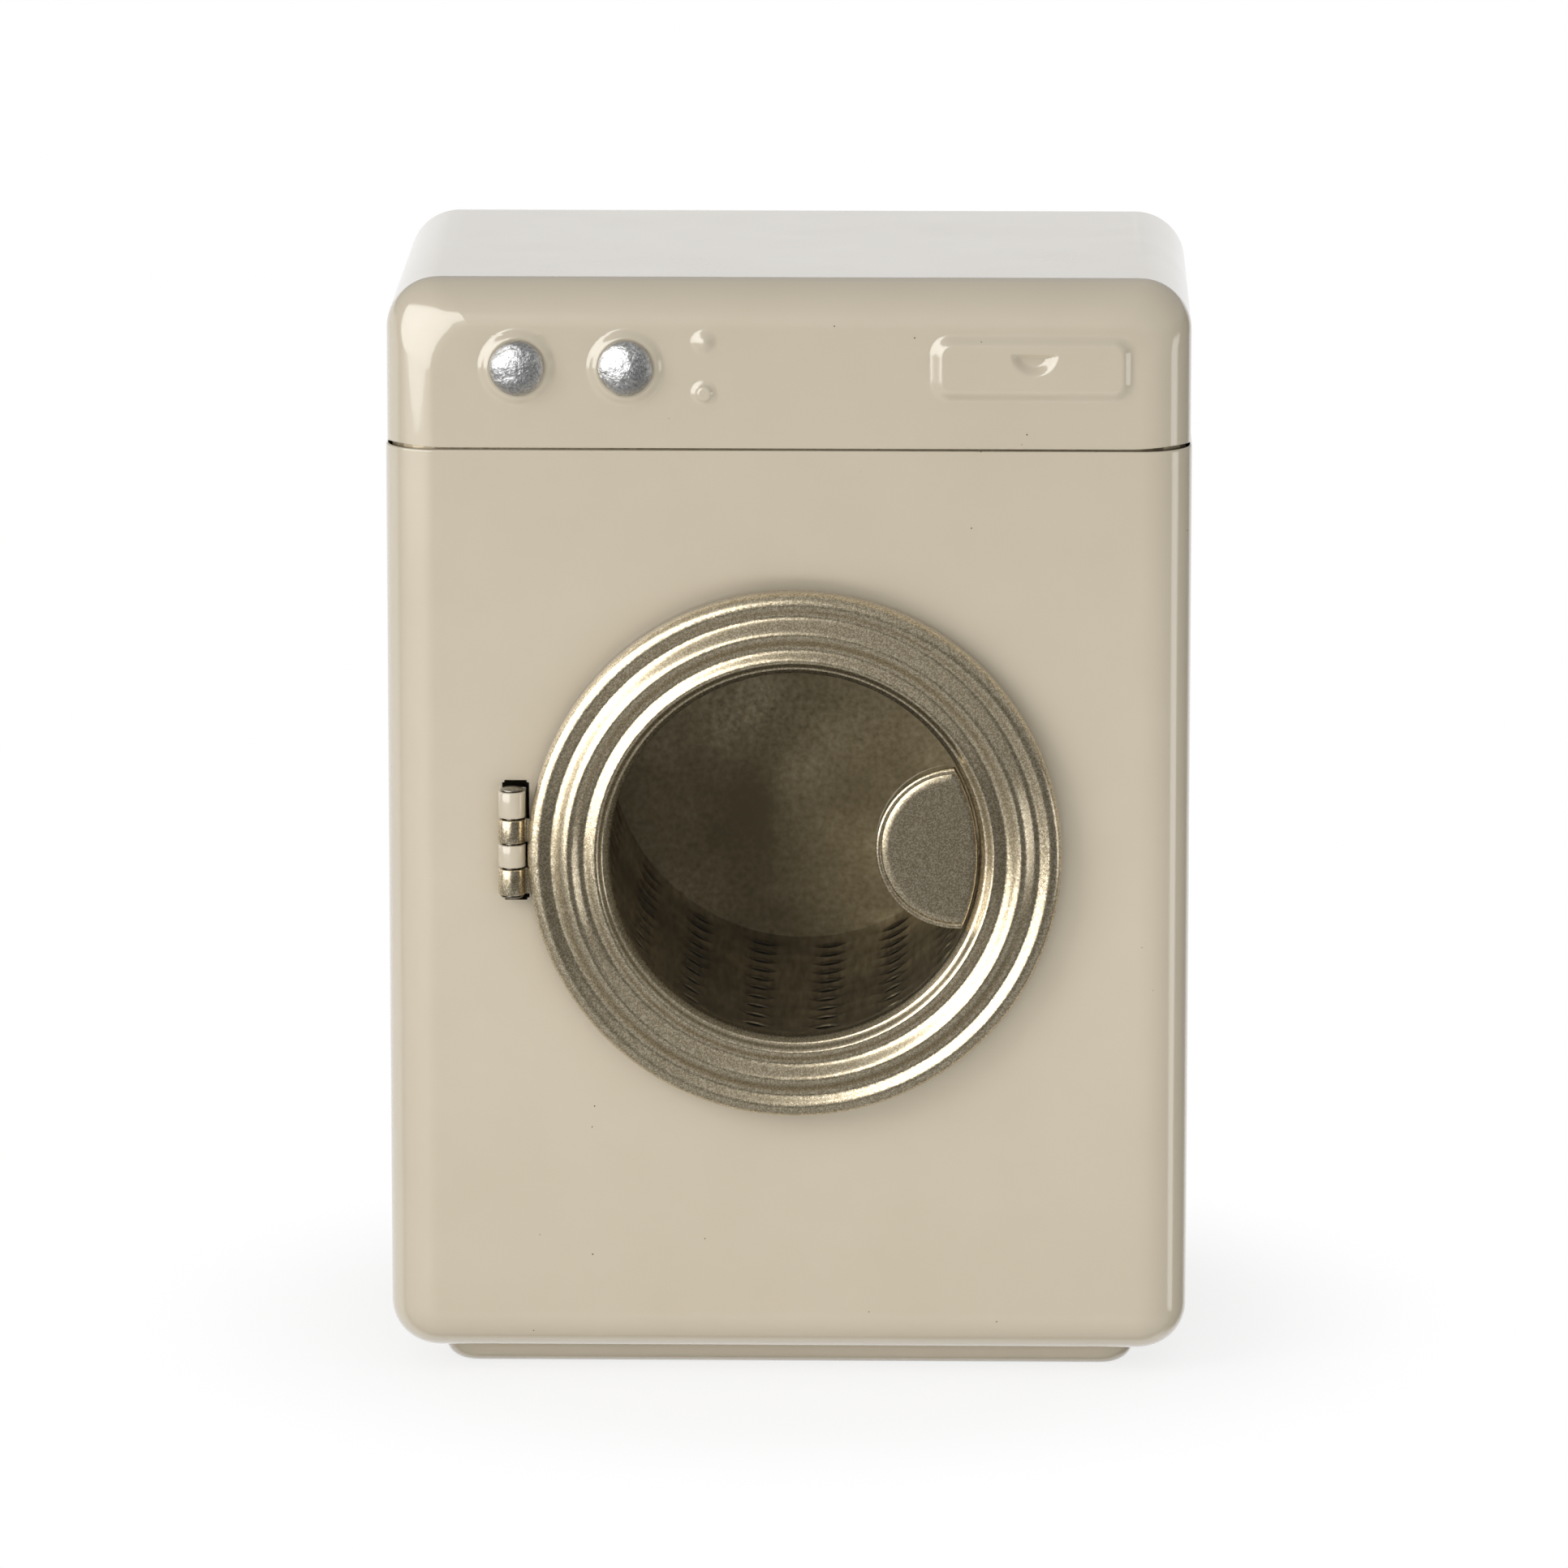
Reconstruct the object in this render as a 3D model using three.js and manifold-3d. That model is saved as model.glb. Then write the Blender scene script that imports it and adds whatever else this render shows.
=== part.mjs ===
// Dollhouse washing machine in painted tinplate: cabinet, head with embossed controls, drum, porthole door.
// Millimetres, +Z up. The origin is on the ground under the middle of the machine, and the door faces -Y.
import * as THREE from "three";
import { mergeGeometries, mergeVertices } from "three/addons/utils/BufferGeometryUtils.js";
import Module from "manifold-3d";

const wasm = await Module();
wasm.setup();

// Overall sizes
const WIDTH = 88;
const DEPTH = 60; // front face to back face, without the door
const HEIGHT = 122.2;
const SHEET = 0.4; // tinplate of every pressed piece
const EDGE_RADIUS = 5.6; // upright edges, and the head's top edges at front and back
const FIT = 0.15; // gap between pieces that are crimped or welded together
const RUNNING = 0.25; // gap between pieces that turn in each other

// Facets
const CORNER_STEPS = 6; // in a quarter turn of an upright edge
const EDGE_STEPS = 5; // in a quarter turn of a top or bottom edge
const HEAD_CORNER_STEPS = 8; // round an upper corner of the head
const ROUND_STEPS = 48; // round the door and the opening
const HIDDEN_ROUND_STEPS = 36; // round the large pieces behind them
const SMALL_ROUND_STEPS = 24; // round a dial and its boss
const FINE_ROUND_STEPS = 16; // round a knuckle, a washer or the drawer's pull
const BUTTON_ROUND_STEPS = 12;
const DRAWER_CORNER_STEPS = 3;
const HANDLE_STEPS = 14; // along each of the handle's two arcs
const BEAD_STEPS = 3; // from a crest of the door ring to a groove

// Head: the top pressing with the controls
const HEAD_HEIGHT = 18.2;
const HEAD_CORNER = 5.6; // its upper corners, as the front is looked at
const HEAD_CORNER_TAPER = 0.2; // how much of the way in from the sides comes off that radius
const HEAD_INSET = 0.15; // the head's sides stand this far inside the body's
const SEAM_GAP = 0.25; // open line between head and body
const NECK_REACH = 4; // neck band above and below the seam

// Foot of the body and the base pan under it
const PLINTH_HEIGHT = 2.6;
const BOTTOM_RADIUS = 5; // the body's turned-in lower edge
const RIM_WIDTH = 0.6; // flat rim left round the plinth
const PLINTH_CORNER = 4;
const PLINTH_EDGE = 2.2; // rounding under the plinth
const FLANGE_WIDTH = 1.6; // the pan's flange on the body's rim

// Lock seam down the back
const LOCK_SEAM_WIDTH = 5;
const LOCK_SEAM_FOLD = 0.8; // thickness of the fold inside
const LOCK_GROOVE_WIDTH = 0.4;
const LOCK_GROOVE_DEPTH = 0.2;
const LOCK_SEAM_MARGIN = 2; // kept clear of the neck band and the pan

// Door opening and drum
const DOOR_X = 0.8;
const DOOR_Z = 59.6;
const OPENING_RADIUS = 21.2;
const COLLAR_DEPTH = 4; // the opening's edge is turned in this far
const DRUM_CLEARANCE = 0.7; // inside of the drum to the turned-in edge
const DRUM_REAR_GAP = 1.9; // drum's end to the cabinet's back wall
const DRUM_FACETS = 36;
const DRUM_CAP_FLANGE = 2;
const MOUNT_FLANGE_WIDTH = 3;
const MOUNT_SLEEVE_LENGTH = 4;

// Drain slots in the drum, in columns along it
const SLOT_COLUMNS = 18;
const SLOT_LENGTH = 3.35; // round the drum
const SLOT_WIDTH = 2.2; // along the drum
const SLOT_PITCH = 4.6;
const SLOT_FIRST_DEPTH = 11; // first row's middle, from the front face
const SLOT_END_MARGIN = 2.5; // at least this much plain sheet from the last row's middle to the drum's end
const SLOT_SHOULDER = 0.45; // a lens-shaped slot's shoulders, as a share of its half length
const SLOT_TURN = THREE.MathUtils.degToRad(8); // first column, from the lowest line towards +X

// Door ring, a pressed sheet whose beads run from the rim in to the lip round the window
const RIM_OVERLAP = 8; // the rim's radius over the opening's
const RIM_LIFT = 0.2; // rim's foot over the back ring
const LIP_WIDTH = 8.95; // from the rim's radius in to the lip's
const CREST_HEIGHT = 3.7; // highest crest over the back ring
const RING_BACK = 0.44; // straight down from the beads' face to their back, since their slopes are thinner
const RIM_ROOF = 0.8; // the same at the rim, where the steepest slope starts
const NOTCH_REACH = 1.2; // the hinge leaf's notch reaches this far in from the rim
const BEADS = [
  // [share of the way from rim to lip, height over the back ring]
  [0, 1.6],
  [0.05, 2.5],
  [0.14, 2.9],
  [0.28, 2.45],
  [0.49, CREST_HEIGHT],
  [0.68, 2.65],
  [0.825, 3.2],
  [0.935, 2.3],
];

// Pieces behind the door ring
const DOOR_GAP = 0.3; // back ring to front face
const SPIGOT_DEPTH = 1.2; // the back ring's collar reaches this far into the opening
const SPIGOT_GAP = 0.3;
const WINDOW_THICKNESS = 0.5;
const WINDOW_OVERLAP = 1.35; // window under the lip

// Half-moon handle, as a disc cut off by the ring's lip
const HANDLE_RADIUS = 8.95;
const HANDLE_INSET = 2.45; // disc's middle inside the lip
const HANDLE_RISE = 0.9;
const HANDLE_LIFT = 1.05; // its underside over the window
const HANDLE_WALL_TURN = 0.01; // its wall stops short of the plate's corners by this angle, in radians

// Hinge
const HINGE_SINK = 0.2; // the knuckles dip this far into the front face's slot
const HINGE_RISE = 1.1; // hinge's middle over the door's middle
const KNUCKLE_RADIUS = 1.5;
const KNUCKLE_LENGTHS = [2.9, 2.5, 2.6, 2.9]; // from the lowest up: door, body, door, body
const KNUCKLE_GAP = 0.2;
const PIN_HEAD_OVERLAP = 0.15; // pin's head past the bore
const PIN_HEAD_HEIGHT = 0.35;
const SLOT_MARGIN_X = 0.35; // hinge slot past the pieces that pass through it
const SLOT_MARGIN_Z = 0.95;
const LEAF_REACH = 6; // door leaf, from the pin's axis
const BODY_LEAF_GAP = 0.85; // body leaf's edge to the start of the cabinet's rounded upright edge

// Controls embossed in the head's front
const DIAL_DROP = 9.1; // dials' middle under the top
const DIAL_SIDE_GAP = 14.6; // left dial's middle to the cabinet's left side
const DIAL_PITCH = 11.8;
const DIAL_RADIUS = 2.95;
const DIAL_DOME = 1.45;
const BOSS_MARGIN = 0.25; // flat top of the boss past the dial
const BOSS_HEIGHT = 0.7;
const BOSS_SLOPE = 1.1;
const SHANK_RADIUS = 1;
const TAIL_WIDTH = 0.6; // riveted-over end of the shank, past the shank
const WASHER_WIDTH = 1.4; // washer past the shank
const BUTTON_SHIFT = 8.5; // buttons' middle to the right dial's
const BUTTON_DROPS = [6.3, 11.9];
const BUTTON_RADIUS = 1.4;
const BUTTON_HEIGHT = 0.6;
const BUTTON_SLOPE = 0.75;
const DRAWER_SIDE_GAP = 17.5; // drawer's middle to the cabinet's right side
const DRAWER_DROP = 9.1;
const DRAWER_WIDTH = 22.3;
const DRAWER_HEIGHT = 7.6;
const DRAWER_CORNER = 2.3;
const DRAWER_RELIEF = 0.7;
const DRAWER_SLOPE = 1.8;
const PULL_SHIFT = 0.2; // half-moon pull's middle from the drawer's
const PULL_RISE = 1.8; // its flat edge over the drawer's middle
const PULL_WIDTH = 5.4;
const PULL_HEIGHT = 2.7;
const PULL_DEPTH = 0.8;
const PULL_SECTION = [
  // from its floor up: [share of the outline, share of the depth]
  [0.45, 0],
  [0.8, 0.3],
  [1, 1],
];
const PULL_TOP_SHARE = 0.33; // how much of a smaller outline's loss of height is at its flat edge

// Places worked out from the sizes
const PLATE_TOP = DOOR_GAP + SHEET; // back ring's front face
const DOOR_PROUD = PLATE_TOP + CREST_HEIGHT;
const FRONT_Y = -(DEPTH + DOOR_PROUD) / 2 + DOOR_PROUD;
const BACK_Y = FRONT_Y + DEPTH;
const SEAM_Z = HEIGHT - HEAD_HEIGHT;
const DRUM_LENGTH = DEPTH - SHEET - DRUM_REAR_GAP;
const COLLAR_RADIUS = OPENING_RADIUS + SHEET;
const DRUM_RADIUS = COLLAR_RADIUS + DRUM_CLEARANCE;
const DRUM_OUTER_RADIUS = DRUM_RADIUS + SHEET;
const SLOT_ROWS = Math.floor((DRUM_LENGTH - SLOT_FIRST_DEPTH - SLOT_END_MARGIN) / SLOT_PITCH) + 1;
const RIM_RADIUS = OPENING_RADIUS + RIM_OVERLAP;
const RIM_FOOT = PLATE_TOP + RIM_LIFT;
const LIP_RADIUS = RIM_RADIUS - LIP_WIDTH;
const WINDOW_BACK = PLATE_TOP + FIT;
const WINDOW_FRONT = WINDOW_BACK + WINDOW_THICKNESS;
const LIP_FOOT = WINDOW_FRONT + FIT;
const HANDLE_X = LIP_RADIUS - HANDLE_INSET; // from the door's middle
const HANDLE_HEIGHT = WINDOW_FRONT + HANDLE_LIFT;
const LEAF_BACK = PLATE_TOP + FIT;
const BORE_RADIUS = KNUCKLE_RADIUS - SHEET;
const PIN_RADIUS = BORE_RADIUS - RUNNING;
const PIN_HEAD_RADIUS = BORE_RADIUS + PIN_HEAD_OVERLAP;
const HINGE_X = DOOR_X - RIM_RADIUS - RUNNING - KNUCKLE_RADIUS;
const HINGE_PROUD = KNUCKLE_RADIUS - HINGE_SINK; // pin's axis over the front face
const HINGE_Y = FRONT_Y - HINGE_PROUD;
const HINGE_LENGTH = KNUCKLE_LENGTHS.reduce((sum, length) => sum + length + KNUCKLE_GAP, -KNUCKLE_GAP);
const HINGE_LOW_Z = DOOR_Z + HINGE_RISE - HINGE_LENGTH / 2;
const HINGE_HIGH_Z = HINGE_LOW_Z + HINGE_LENGTH;
const DIAL_X = DIAL_SIDE_GAP - WIDTH / 2;
const BUTTON_X = DIAL_X + DIAL_PITCH + BUTTON_SHIFT;
const DRAWER_X = WIDTH / 2 - DRAWER_SIDE_GAP;
const BOSS_RADIUS = DIAL_RADIUS + BOSS_MARGIN + BOSS_SLOPE;
const PANEL_TOP = BOSS_HEIGHT - HEAD_INSET; // a boss's top over the body's front face
const WASHER_TOP = PANEL_TOP - SHEET - FIT;
const WASHER_RADIUS = SHANK_RADIUS + WASHER_WIDTH;
const TAIL_RADIUS = SHANK_RADIUS + TAIL_WIDTH;
const FINE_OVERLAP = 0.2; // how far shapes that are joined or cut run into or past each other

// Finishes
const finish = (color, roughness, metalness) =>
  new THREE.MeshStandardMaterial({ color, roughness, metalness });
const beigeEnamel = finish("#cbbfa9", 0.22, 0);
const champagnePaint = finish("#a89b7d", 0.35, 0.8);
const tinplate = finish("#8d867a", 0.45, 0.9);
const castSilver = finish("#b9bcc2", 0.35, 1);
const hingeSteel = finish("#8a8172", 0.4, 1);
const clearSheet = new THREE.MeshStandardMaterial({
  color: "#e8ebea",
  roughness: 0.05,
  metalness: 0,
  transparent: true,
  opacity: 0.2,
});

// Solids

// A closed geometry as a solid that can be joined and cut.
function solid(geometry) {
  const bare = geometry.clone();
  for (const name of Object.keys(bare.attributes)) {
    if (name !== "position") bare.deleteAttribute(name);
  }
  const merged = mergeVertices(bare, 1e-4);
  const corners = [];
  for (let i = 0; i < merged.index.count; i += 3) {
    const [a, b, c] = merged.index.array.slice(i, i + 3);
    if (a !== b && b !== c && c !== a) corners.push([a, b, c]);
  }
  const build = (faces) =>
    new wasm.Manifold(
      new wasm.Mesh({
        numProp: 3,
        vertProperties: merged.attributes.position.array,
        triVerts: new Uint32Array(faces.flat()),
      }),
    );
  const made = build(corners);
  return made.volume() < 0 ? build(corners.map(([a, b, c]) => [a, c, b])) : made;
}

function geometryOf(made) {
  const mesh = made.getMesh();
  return new THREE.BufferGeometry()
    .setAttribute("position", new THREE.BufferAttribute(mesh.vertProperties, 3))
    .setIndex(new THREE.BufferAttribute(mesh.triVerts, 1));
}

function join(first, ...others) {
  return others.reduce((sum, other) => sum.add(other), first);
}

function cut(first, ...others) {
  return others.reduce((rest, other) => rest.subtract(other), first);
}

// A skin through rings of points, with a flat cap on the first and the last ring.
function loft(rings) {
  const count = rings[0].length;
  const index = [];
  for (let ring = 0; ring < rings.length - 1; ring++) {
    for (let i = 0; i < count; i++) {
      const a = ring * count + i;
      const b = ring * count + ((i + 1) % count);
      index.push(a, b, b + count, a, b + count, a + count);
    }
  }
  const last = (rings.length - 1) * count;
  for (let i = 1; i < count - 1; i++) {
    index.push(0, i + 1, i, last, last + i, last + i + 1);
  }
  const points = rings.flat().flatMap((p) => [p.x, p.y, p.z]);
  return new THREE.BufferGeometry()
    .setAttribute("position", new THREE.Float32BufferAttribute(points, 3))
    .setIndex(index);
}

// A rounded rectangle at one height, always with the same number of points.
function rectangleRing(width, depth, radius, z, cornerSteps = CORNER_STEPS) {
  const ring = [];
  const corners = [
    [1, 1],
    [-1, 1],
    [-1, -1],
    [1, -1],
  ];
  corners.forEach(([sideX, sideY], quarter) => {
    for (let step = 0; step <= cornerSteps; step++) {
      const angle = (quarter + step / cornerSteps) * (Math.PI / 2);
      const x = sideX * (width / 2 - radius) + radius * Math.cos(angle);
      const y = sideY * (depth / 2 - radius) + radius * Math.sin(angle);
      ring.push(new THREE.Vector3(x, y, z));
    }
  });
  return ring;
}

function circleRing(radius, z, steps) {
  return Array.from({ length: steps }, (_, i) => {
    const angle = (i / steps) * 2 * Math.PI;
    return new THREE.Vector3(radius * Math.cos(angle), radius * Math.sin(angle), z);
  });
}

// A rounded rectangle block, each level given as [inset, z] from one outline.
function block(width, depth, radius, levels) {
  const ring = ([inset, z]) =>
    rectangleRing(width - 2 * inset, depth - 2 * inset, Math.max(radius - inset, 0), z);
  return loft(levels.map(ring));
}

function box(lowX, highX, lowY, highY, lowZ, highZ) {
  return new THREE.BoxGeometry(highX - lowX, highY - lowY, highZ - lowZ).translate(
    (lowX + highX) / 2,
    (lowY + highY) / 2,
    (lowZ + highZ) / 2,
  );
}

// A round piece turned about Z from a profile of [radius, z] points.
function turned(profile, steps = ROUND_STEPS, start = 0) {
  const points = profile.map(([radius, z]) => new THREE.Vector2(radius, z));
  return new THREE.LatheGeometry(points, steps, start).rotateX(Math.PI / 2);
}

function ringProfile(inner, outer, low, high) {
  return [
    [inner, low],
    [outer, low],
    [outer, high],
    [inner, high],
    [inner, low],
  ];
}

function discProfile(radius, low, high) {
  return [
    [0, low],
    [radius, low],
    [radius, high],
    [0, high],
  ];
}

// The front frame has X to the right, Y up the front face and Z out of it.
function fromFrontFrame(geometry) {
  return geometry.rotateX(Math.PI / 2).translate(0, FRONT_Y, 0);
}

// Levels of a rounded edge from the flat face to the side, as [inset, z].
function edgeLevels(radius, flatZ, direction) {
  return Array.from({ length: EDGE_STEPS + 1 }, (_, i) => {
    const angle = (i / EDGE_STEPS) * (Math.PI / 2);
    return [radius * (1 - Math.sin(angle)), flatZ - direction * radius * (1 - Math.cos(angle))];
  });
}

// Cabinet

function bodySkin(inset, lowZ, highZ) {
  const radius = BOTTOM_RADIUS - inset;
  const levels = [...edgeLevels(radius, lowZ, -1), [0, highZ]];
  return block(WIDTH - 2 * inset, DEPTH - 2 * inset, EDGE_RADIUS - inset, levels);
}

function centredInDepth(geometry) {
  return geometry.translate(0, (FRONT_Y + BACK_Y) / 2, 0);
}

function plinthOpening() {
  const inset = BOTTOM_RADIUS + RIM_WIDTH;
  const levels = [
    [0, 0],
    [0, PLINTH_HEIGHT + SHEET + FINE_OVERLAP],
  ];
  return block(WIDTH - 2 * inset, DEPTH - 2 * inset, PLINTH_CORNER, levels);
}

function atDoor(geometry) {
  return fromFrontFrame(geometry.translate(DOOR_X, DOOR_Z, 0));
}

function hingeSlot() {
  const lowX = HINGE_X - Math.sqrt(KNUCKLE_RADIUS ** 2 - HINGE_PROUD ** 2) - SLOT_MARGIN_X;
  const highX = HINGE_X + KNUCKLE_RADIUS + SLOT_MARGIN_X;
  const lowY = FRONT_Y - FINE_OVERLAP;
  const highY = FRONT_Y + SHEET + FINE_OVERLAP;
  return box(lowX, highX, lowY, highY, HINGE_LOW_Z - SLOT_MARGIN_Z, HINGE_HIGH_Z + SLOT_MARGIN_Z);
}

function lockSeamFold() {
  const innerY = BACK_Y - SHEET;
  const lowZ = PLINTH_HEIGHT + BOTTOM_RADIUS + LOCK_SEAM_MARGIN;
  const highZ = SEAM_Z - NECK_REACH - LOCK_SEAM_MARGIN;
  const half = LOCK_SEAM_WIDTH / 2;
  return box(-half, half, innerY - LOCK_SEAM_FOLD, innerY + SHEET / 2, lowZ, highZ);
}

function lockSeamGroove() {
  const half = LOCK_GROOVE_WIDTH / 2;
  const lowZ = PLINTH_HEIGHT + BOTTOM_RADIUS;
  return box(-half, half, BACK_Y - LOCK_GROOVE_DEPTH, BACK_Y + FINE_OVERLAP, lowZ, SEAM_Z + FINE_OVERLAP);
}

function makeBodyShell() {
  const outer = solid(centredInDepth(bodySkin(0, PLINTH_HEIGHT, SEAM_Z)));
  const inner = solid(centredInDepth(bodySkin(SHEET, PLINTH_HEIGHT + SHEET, SEAM_Z + FINE_OVERLAP)));
  const collar = solid(atDoor(turned(discProfile(COLLAR_RADIUS, -COLLAR_DEPTH, -SHEET / 2))));
  const boreProfile = discProfile(OPENING_RADIUS, -COLLAR_DEPTH - FINE_OVERLAP, FINE_OVERLAP);
  const walls = join(cut(outer, inner), collar, solid(lockSeamFold()));
  const bore = atDoor(turned(boreProfile));
  const openings = [centredInDepth(plinthOpening()), bore, hingeSlot(), lockSeamGroove()];
  return cut(walls, ...openings.map(solid));
}

function makeBasePan() {
  const inset = BOTTOM_RADIUS + RIM_WIDTH + FIT;
  const width = WIDTH - 2 * inset;
  const depth = DEPTH - 2 * inset;
  const corner = PLINTH_CORNER - FIT;
  const flangeLow = PLINTH_HEIGHT + SHEET + FIT;
  const flangeHigh = flangeLow + SHEET;
  const outerLevels = [...edgeLevels(PLINTH_EDGE, 0, -1), [0, flangeHigh]];
  const innerLevels = [...edgeLevels(PLINTH_EDGE - SHEET, SHEET, -1), [0, flangeHigh + FINE_OVERLAP]];
  const outer = solid(block(width, depth, corner, outerLevels));
  const inner = solid(block(width - 2 * SHEET, depth - 2 * SHEET, corner - SHEET, innerLevels));
  const flangeLevels = [
    [-FLANGE_WIDTH, flangeLow],
    [-FLANGE_WIDTH, flangeHigh],
  ];
  const flange = solid(block(width, depth, corner, flangeLevels));
  return cut(join(outer, flange), inner);
}

function makeNeckBand() {
  const inset = HEAD_INSET + SHEET + FIT;
  const outline = [WIDTH - 2 * inset, DEPTH - 2 * inset, EDGE_RADIUS - inset];
  const ring = (more, reach) =>
    block(...outline, [
      [more, SEAM_Z - reach],
      [more, SEAM_Z + reach],
    ]);
  return cut(solid(ring(0, NECK_REACH)), solid(ring(SHEET, NECK_REACH + FINE_OVERLAP)));
}

// Head

// An upright outline across the machine, with rounded upper corners and a straight lower edge.
function archRing(halfWidth, top, radius, y, lowZ) {
  const ring = [new THREE.Vector3(halfWidth, y, lowZ)];
  for (const quarter of [0, 1]) {
    const middleX = (quarter ? -1 : 1) * (halfWidth - radius);
    for (let step = 0; step <= HEAD_CORNER_STEPS; step++) {
      const angle = (quarter + step / HEAD_CORNER_STEPS) * (Math.PI / 2);
      const z = top - radius + radius * Math.sin(angle);
      ring.push(new THREE.Vector3(middleX + radius * Math.cos(angle), y, z));
    }
  }
  return [...ring, new THREE.Vector3(-halfWidth, y, lowZ)];
}

// The head's skin runs from front to back, so that one rounded edge goes round each face.
function headSkin(inset, lowZ) {
  const radius = EDGE_RADIUS - inset;
  const away = HEAD_INSET + inset;
  const frontLevels = edgeLevels(radius, FRONT_Y + away, -1);
  const backLevels = edgeLevels(radius, BACK_Y - away, 1).reverse();
  const ring = ([step, y]) => {
    const corner = HEAD_CORNER - inset - HEAD_CORNER_TAPER * step;
    return archRing(WIDTH / 2 - away - step, HEIGHT - inset - step, corner, y, lowZ);
  };
  return loft([...frontLevels, ...backLevels].map(ring));
}

// Shares of a pressed slope from its foot to its top: how far in, and how high.
const SLOPE = [
  [0, 0],
  [0.3, 0.15],
  [0.7, 0.85],
  [1, 1],
];

// A raised form on the head's front. `sunk` 0 gives its outside and SHEET its hollow behind.
function mound(makeRing, slope, height, sunk) {
  const foot = -(HEAD_INSET + sunk);
  const rings = SLOPE.map(([inShare, upShare]) =>
    makeRing(inShare * slope + sunk / 2, foot + upShare * height),
  );
  return loft([makeRing(sunk / 2, foot - SHEET / 2), ...rings]);
}

function drawerMound(sunk) {
  const ring = (inset, z) =>
    rectangleRing(
      DRAWER_WIDTH - 2 * inset,
      DRAWER_HEIGHT - 2 * inset,
      Math.max(DRAWER_CORNER - inset, FIT),
      z,
      DRAWER_CORNER_STEPS,
    );
  return mound(ring, DRAWER_SLOPE, DRAWER_RELIEF, sunk).translate(DRAWER_X, HEIGHT - DRAWER_DROP, 0);
}

function bossMound(x, sunk) {
  const ring = (inset, z) => circleRing(BOSS_RADIUS - inset, z, SMALL_ROUND_STEPS);
  return mound(ring, BOSS_SLOPE, BOSS_HEIGHT, sunk).translate(x, HEIGHT - DIAL_DROP, 0);
}

function buttonMound(drop, sunk) {
  const ring = (inset, z) => circleRing(BUTTON_RADIUS - inset, z, BUTTON_ROUND_STEPS);
  return mound(ring, BUTTON_SLOPE, BUTTON_HEIGHT, sunk).translate(BUTTON_X, HEIGHT - drop, 0);
}

// The pressed-in half-moon of the drawer's pull, or with `wall` the sheet behind it.
function pullHollow(wall) {
  const floor = DRAWER_RELIEF - HEAD_INSET - PULL_DEPTH - wall;
  const ring = (share, z) => {
    const half = (PULL_WIDTH / 2) * share + wall;
    const deep = PULL_HEIGHT * share + wall;
    const top = -PULL_HEIGHT * (1 - share) * PULL_TOP_SHARE + wall;
    return Array.from({ length: FINE_ROUND_STEPS / 2 + 1 }, (_, i) => {
      const angle = Math.PI + (i / (FINE_ROUND_STEPS / 2)) * Math.PI;
      return new THREE.Vector3(half * Math.cos(angle), top + (deep + wall) * Math.sin(angle), z);
    });
  };
  const rings = PULL_SECTION.map(([share, rise]) => ring(share, floor + rise * PULL_DEPTH));
  return loft([...rings, ring(1, floor + PULL_DEPTH + wall + FINE_OVERLAP)]).translate(
    DRAWER_X + PULL_SHIFT,
    HEIGHT - DRAWER_DROP + PULL_RISE,
    0,
  );
}

function dialPlaces() {
  return [DIAL_X, DIAL_X + DIAL_PITCH];
}

function makeHeadShell() {
  const raised = (sunk) =>
    [
      drawerMound(sunk),
      ...dialPlaces().map((x) => bossMound(x, sunk)),
      ...BUTTON_DROPS.map((drop) => buttonMound(drop, sunk)),
    ].map((form) => solid(fromFrontFrame(form)));
  const outer = join(solid(headSkin(0, SEAM_Z + SEAM_GAP)), ...raised(0));
  const inner = join(solid(headSkin(SHEET, SEAM_Z + SEAM_GAP - FINE_OVERLAP)), ...raised(SHEET));
  const pull = solid(fromFrontFrame(pullHollow(0)));
  const pullBacking = solid(fromFrontFrame(pullHollow(SHEET)));
  const holes = dialPlaces().map((x) => {
    const bore = discProfile(SHANK_RADIUS + RUNNING, WASHER_TOP - FINE_OVERLAP, PANEL_TOP + FINE_OVERLAP);
    const hole = turned(bore, FINE_ROUND_STEPS).translate(x, HEIGHT - DIAL_DROP, 0);
    return solid(fromFrontFrame(hole));
  });
  return cut(outer, pull, cut(inner, pullBacking), ...holes);
}

// Drum

function slotCutter(column, row) {
  const half = SLOT_LENGTH / 2;
  const shape = new THREE.Shape(
    [
      [-1, 0],
      [-SLOT_SHOULDER, -0.5],
      [SLOT_SHOULDER, -0.5],
      [1, 0],
      [SLOT_SHOULDER, 0.5],
      [-SLOT_SHOULDER, 0.5],
    ].map(([along, across]) => new THREE.Vector2(along * half, across * SLOT_WIDTH)),
  );
  const angle = SLOT_TURN + (column / SLOT_COLUMNS) * 2 * Math.PI;
  const cutter = new THREE.ExtrudeGeometry(shape, { depth: 3 * SHEET, bevelEnabled: false });
  return cutter
    .rotateX(Math.PI / 2)
    .translate(0, -(DRUM_RADIUS - SHEET), -(SLOT_FIRST_DEPTH + row * SLOT_PITCH))
    .rotateZ(angle);
}

function makeDrumShell() {
  const low = -DRUM_LENGTH;
  const high = -(SHEET + FIT);
  const start = SLOT_TURN - Math.PI / DRUM_FACETS; // a column lies in the middle of a facet
  const inset = 1 / Math.cos(Math.PI / DRUM_FACETS); // facets keep the true radius at their middle
  const profile = ringProfile(DRUM_RADIUS * inset, DRUM_OUTER_RADIUS * inset, low, high);
  const wall = solid(turned(profile, DRUM_FACETS, start));
  const cutters = [];
  for (let column = 0; column < SLOT_COLUMNS; column++) {
    for (let row = 0; row < SLOT_ROWS; row++) cutters.push(slotCutter(column, row));
  }
  return cut(wall, solid(mergeGeometries(cutters)));
}

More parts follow.
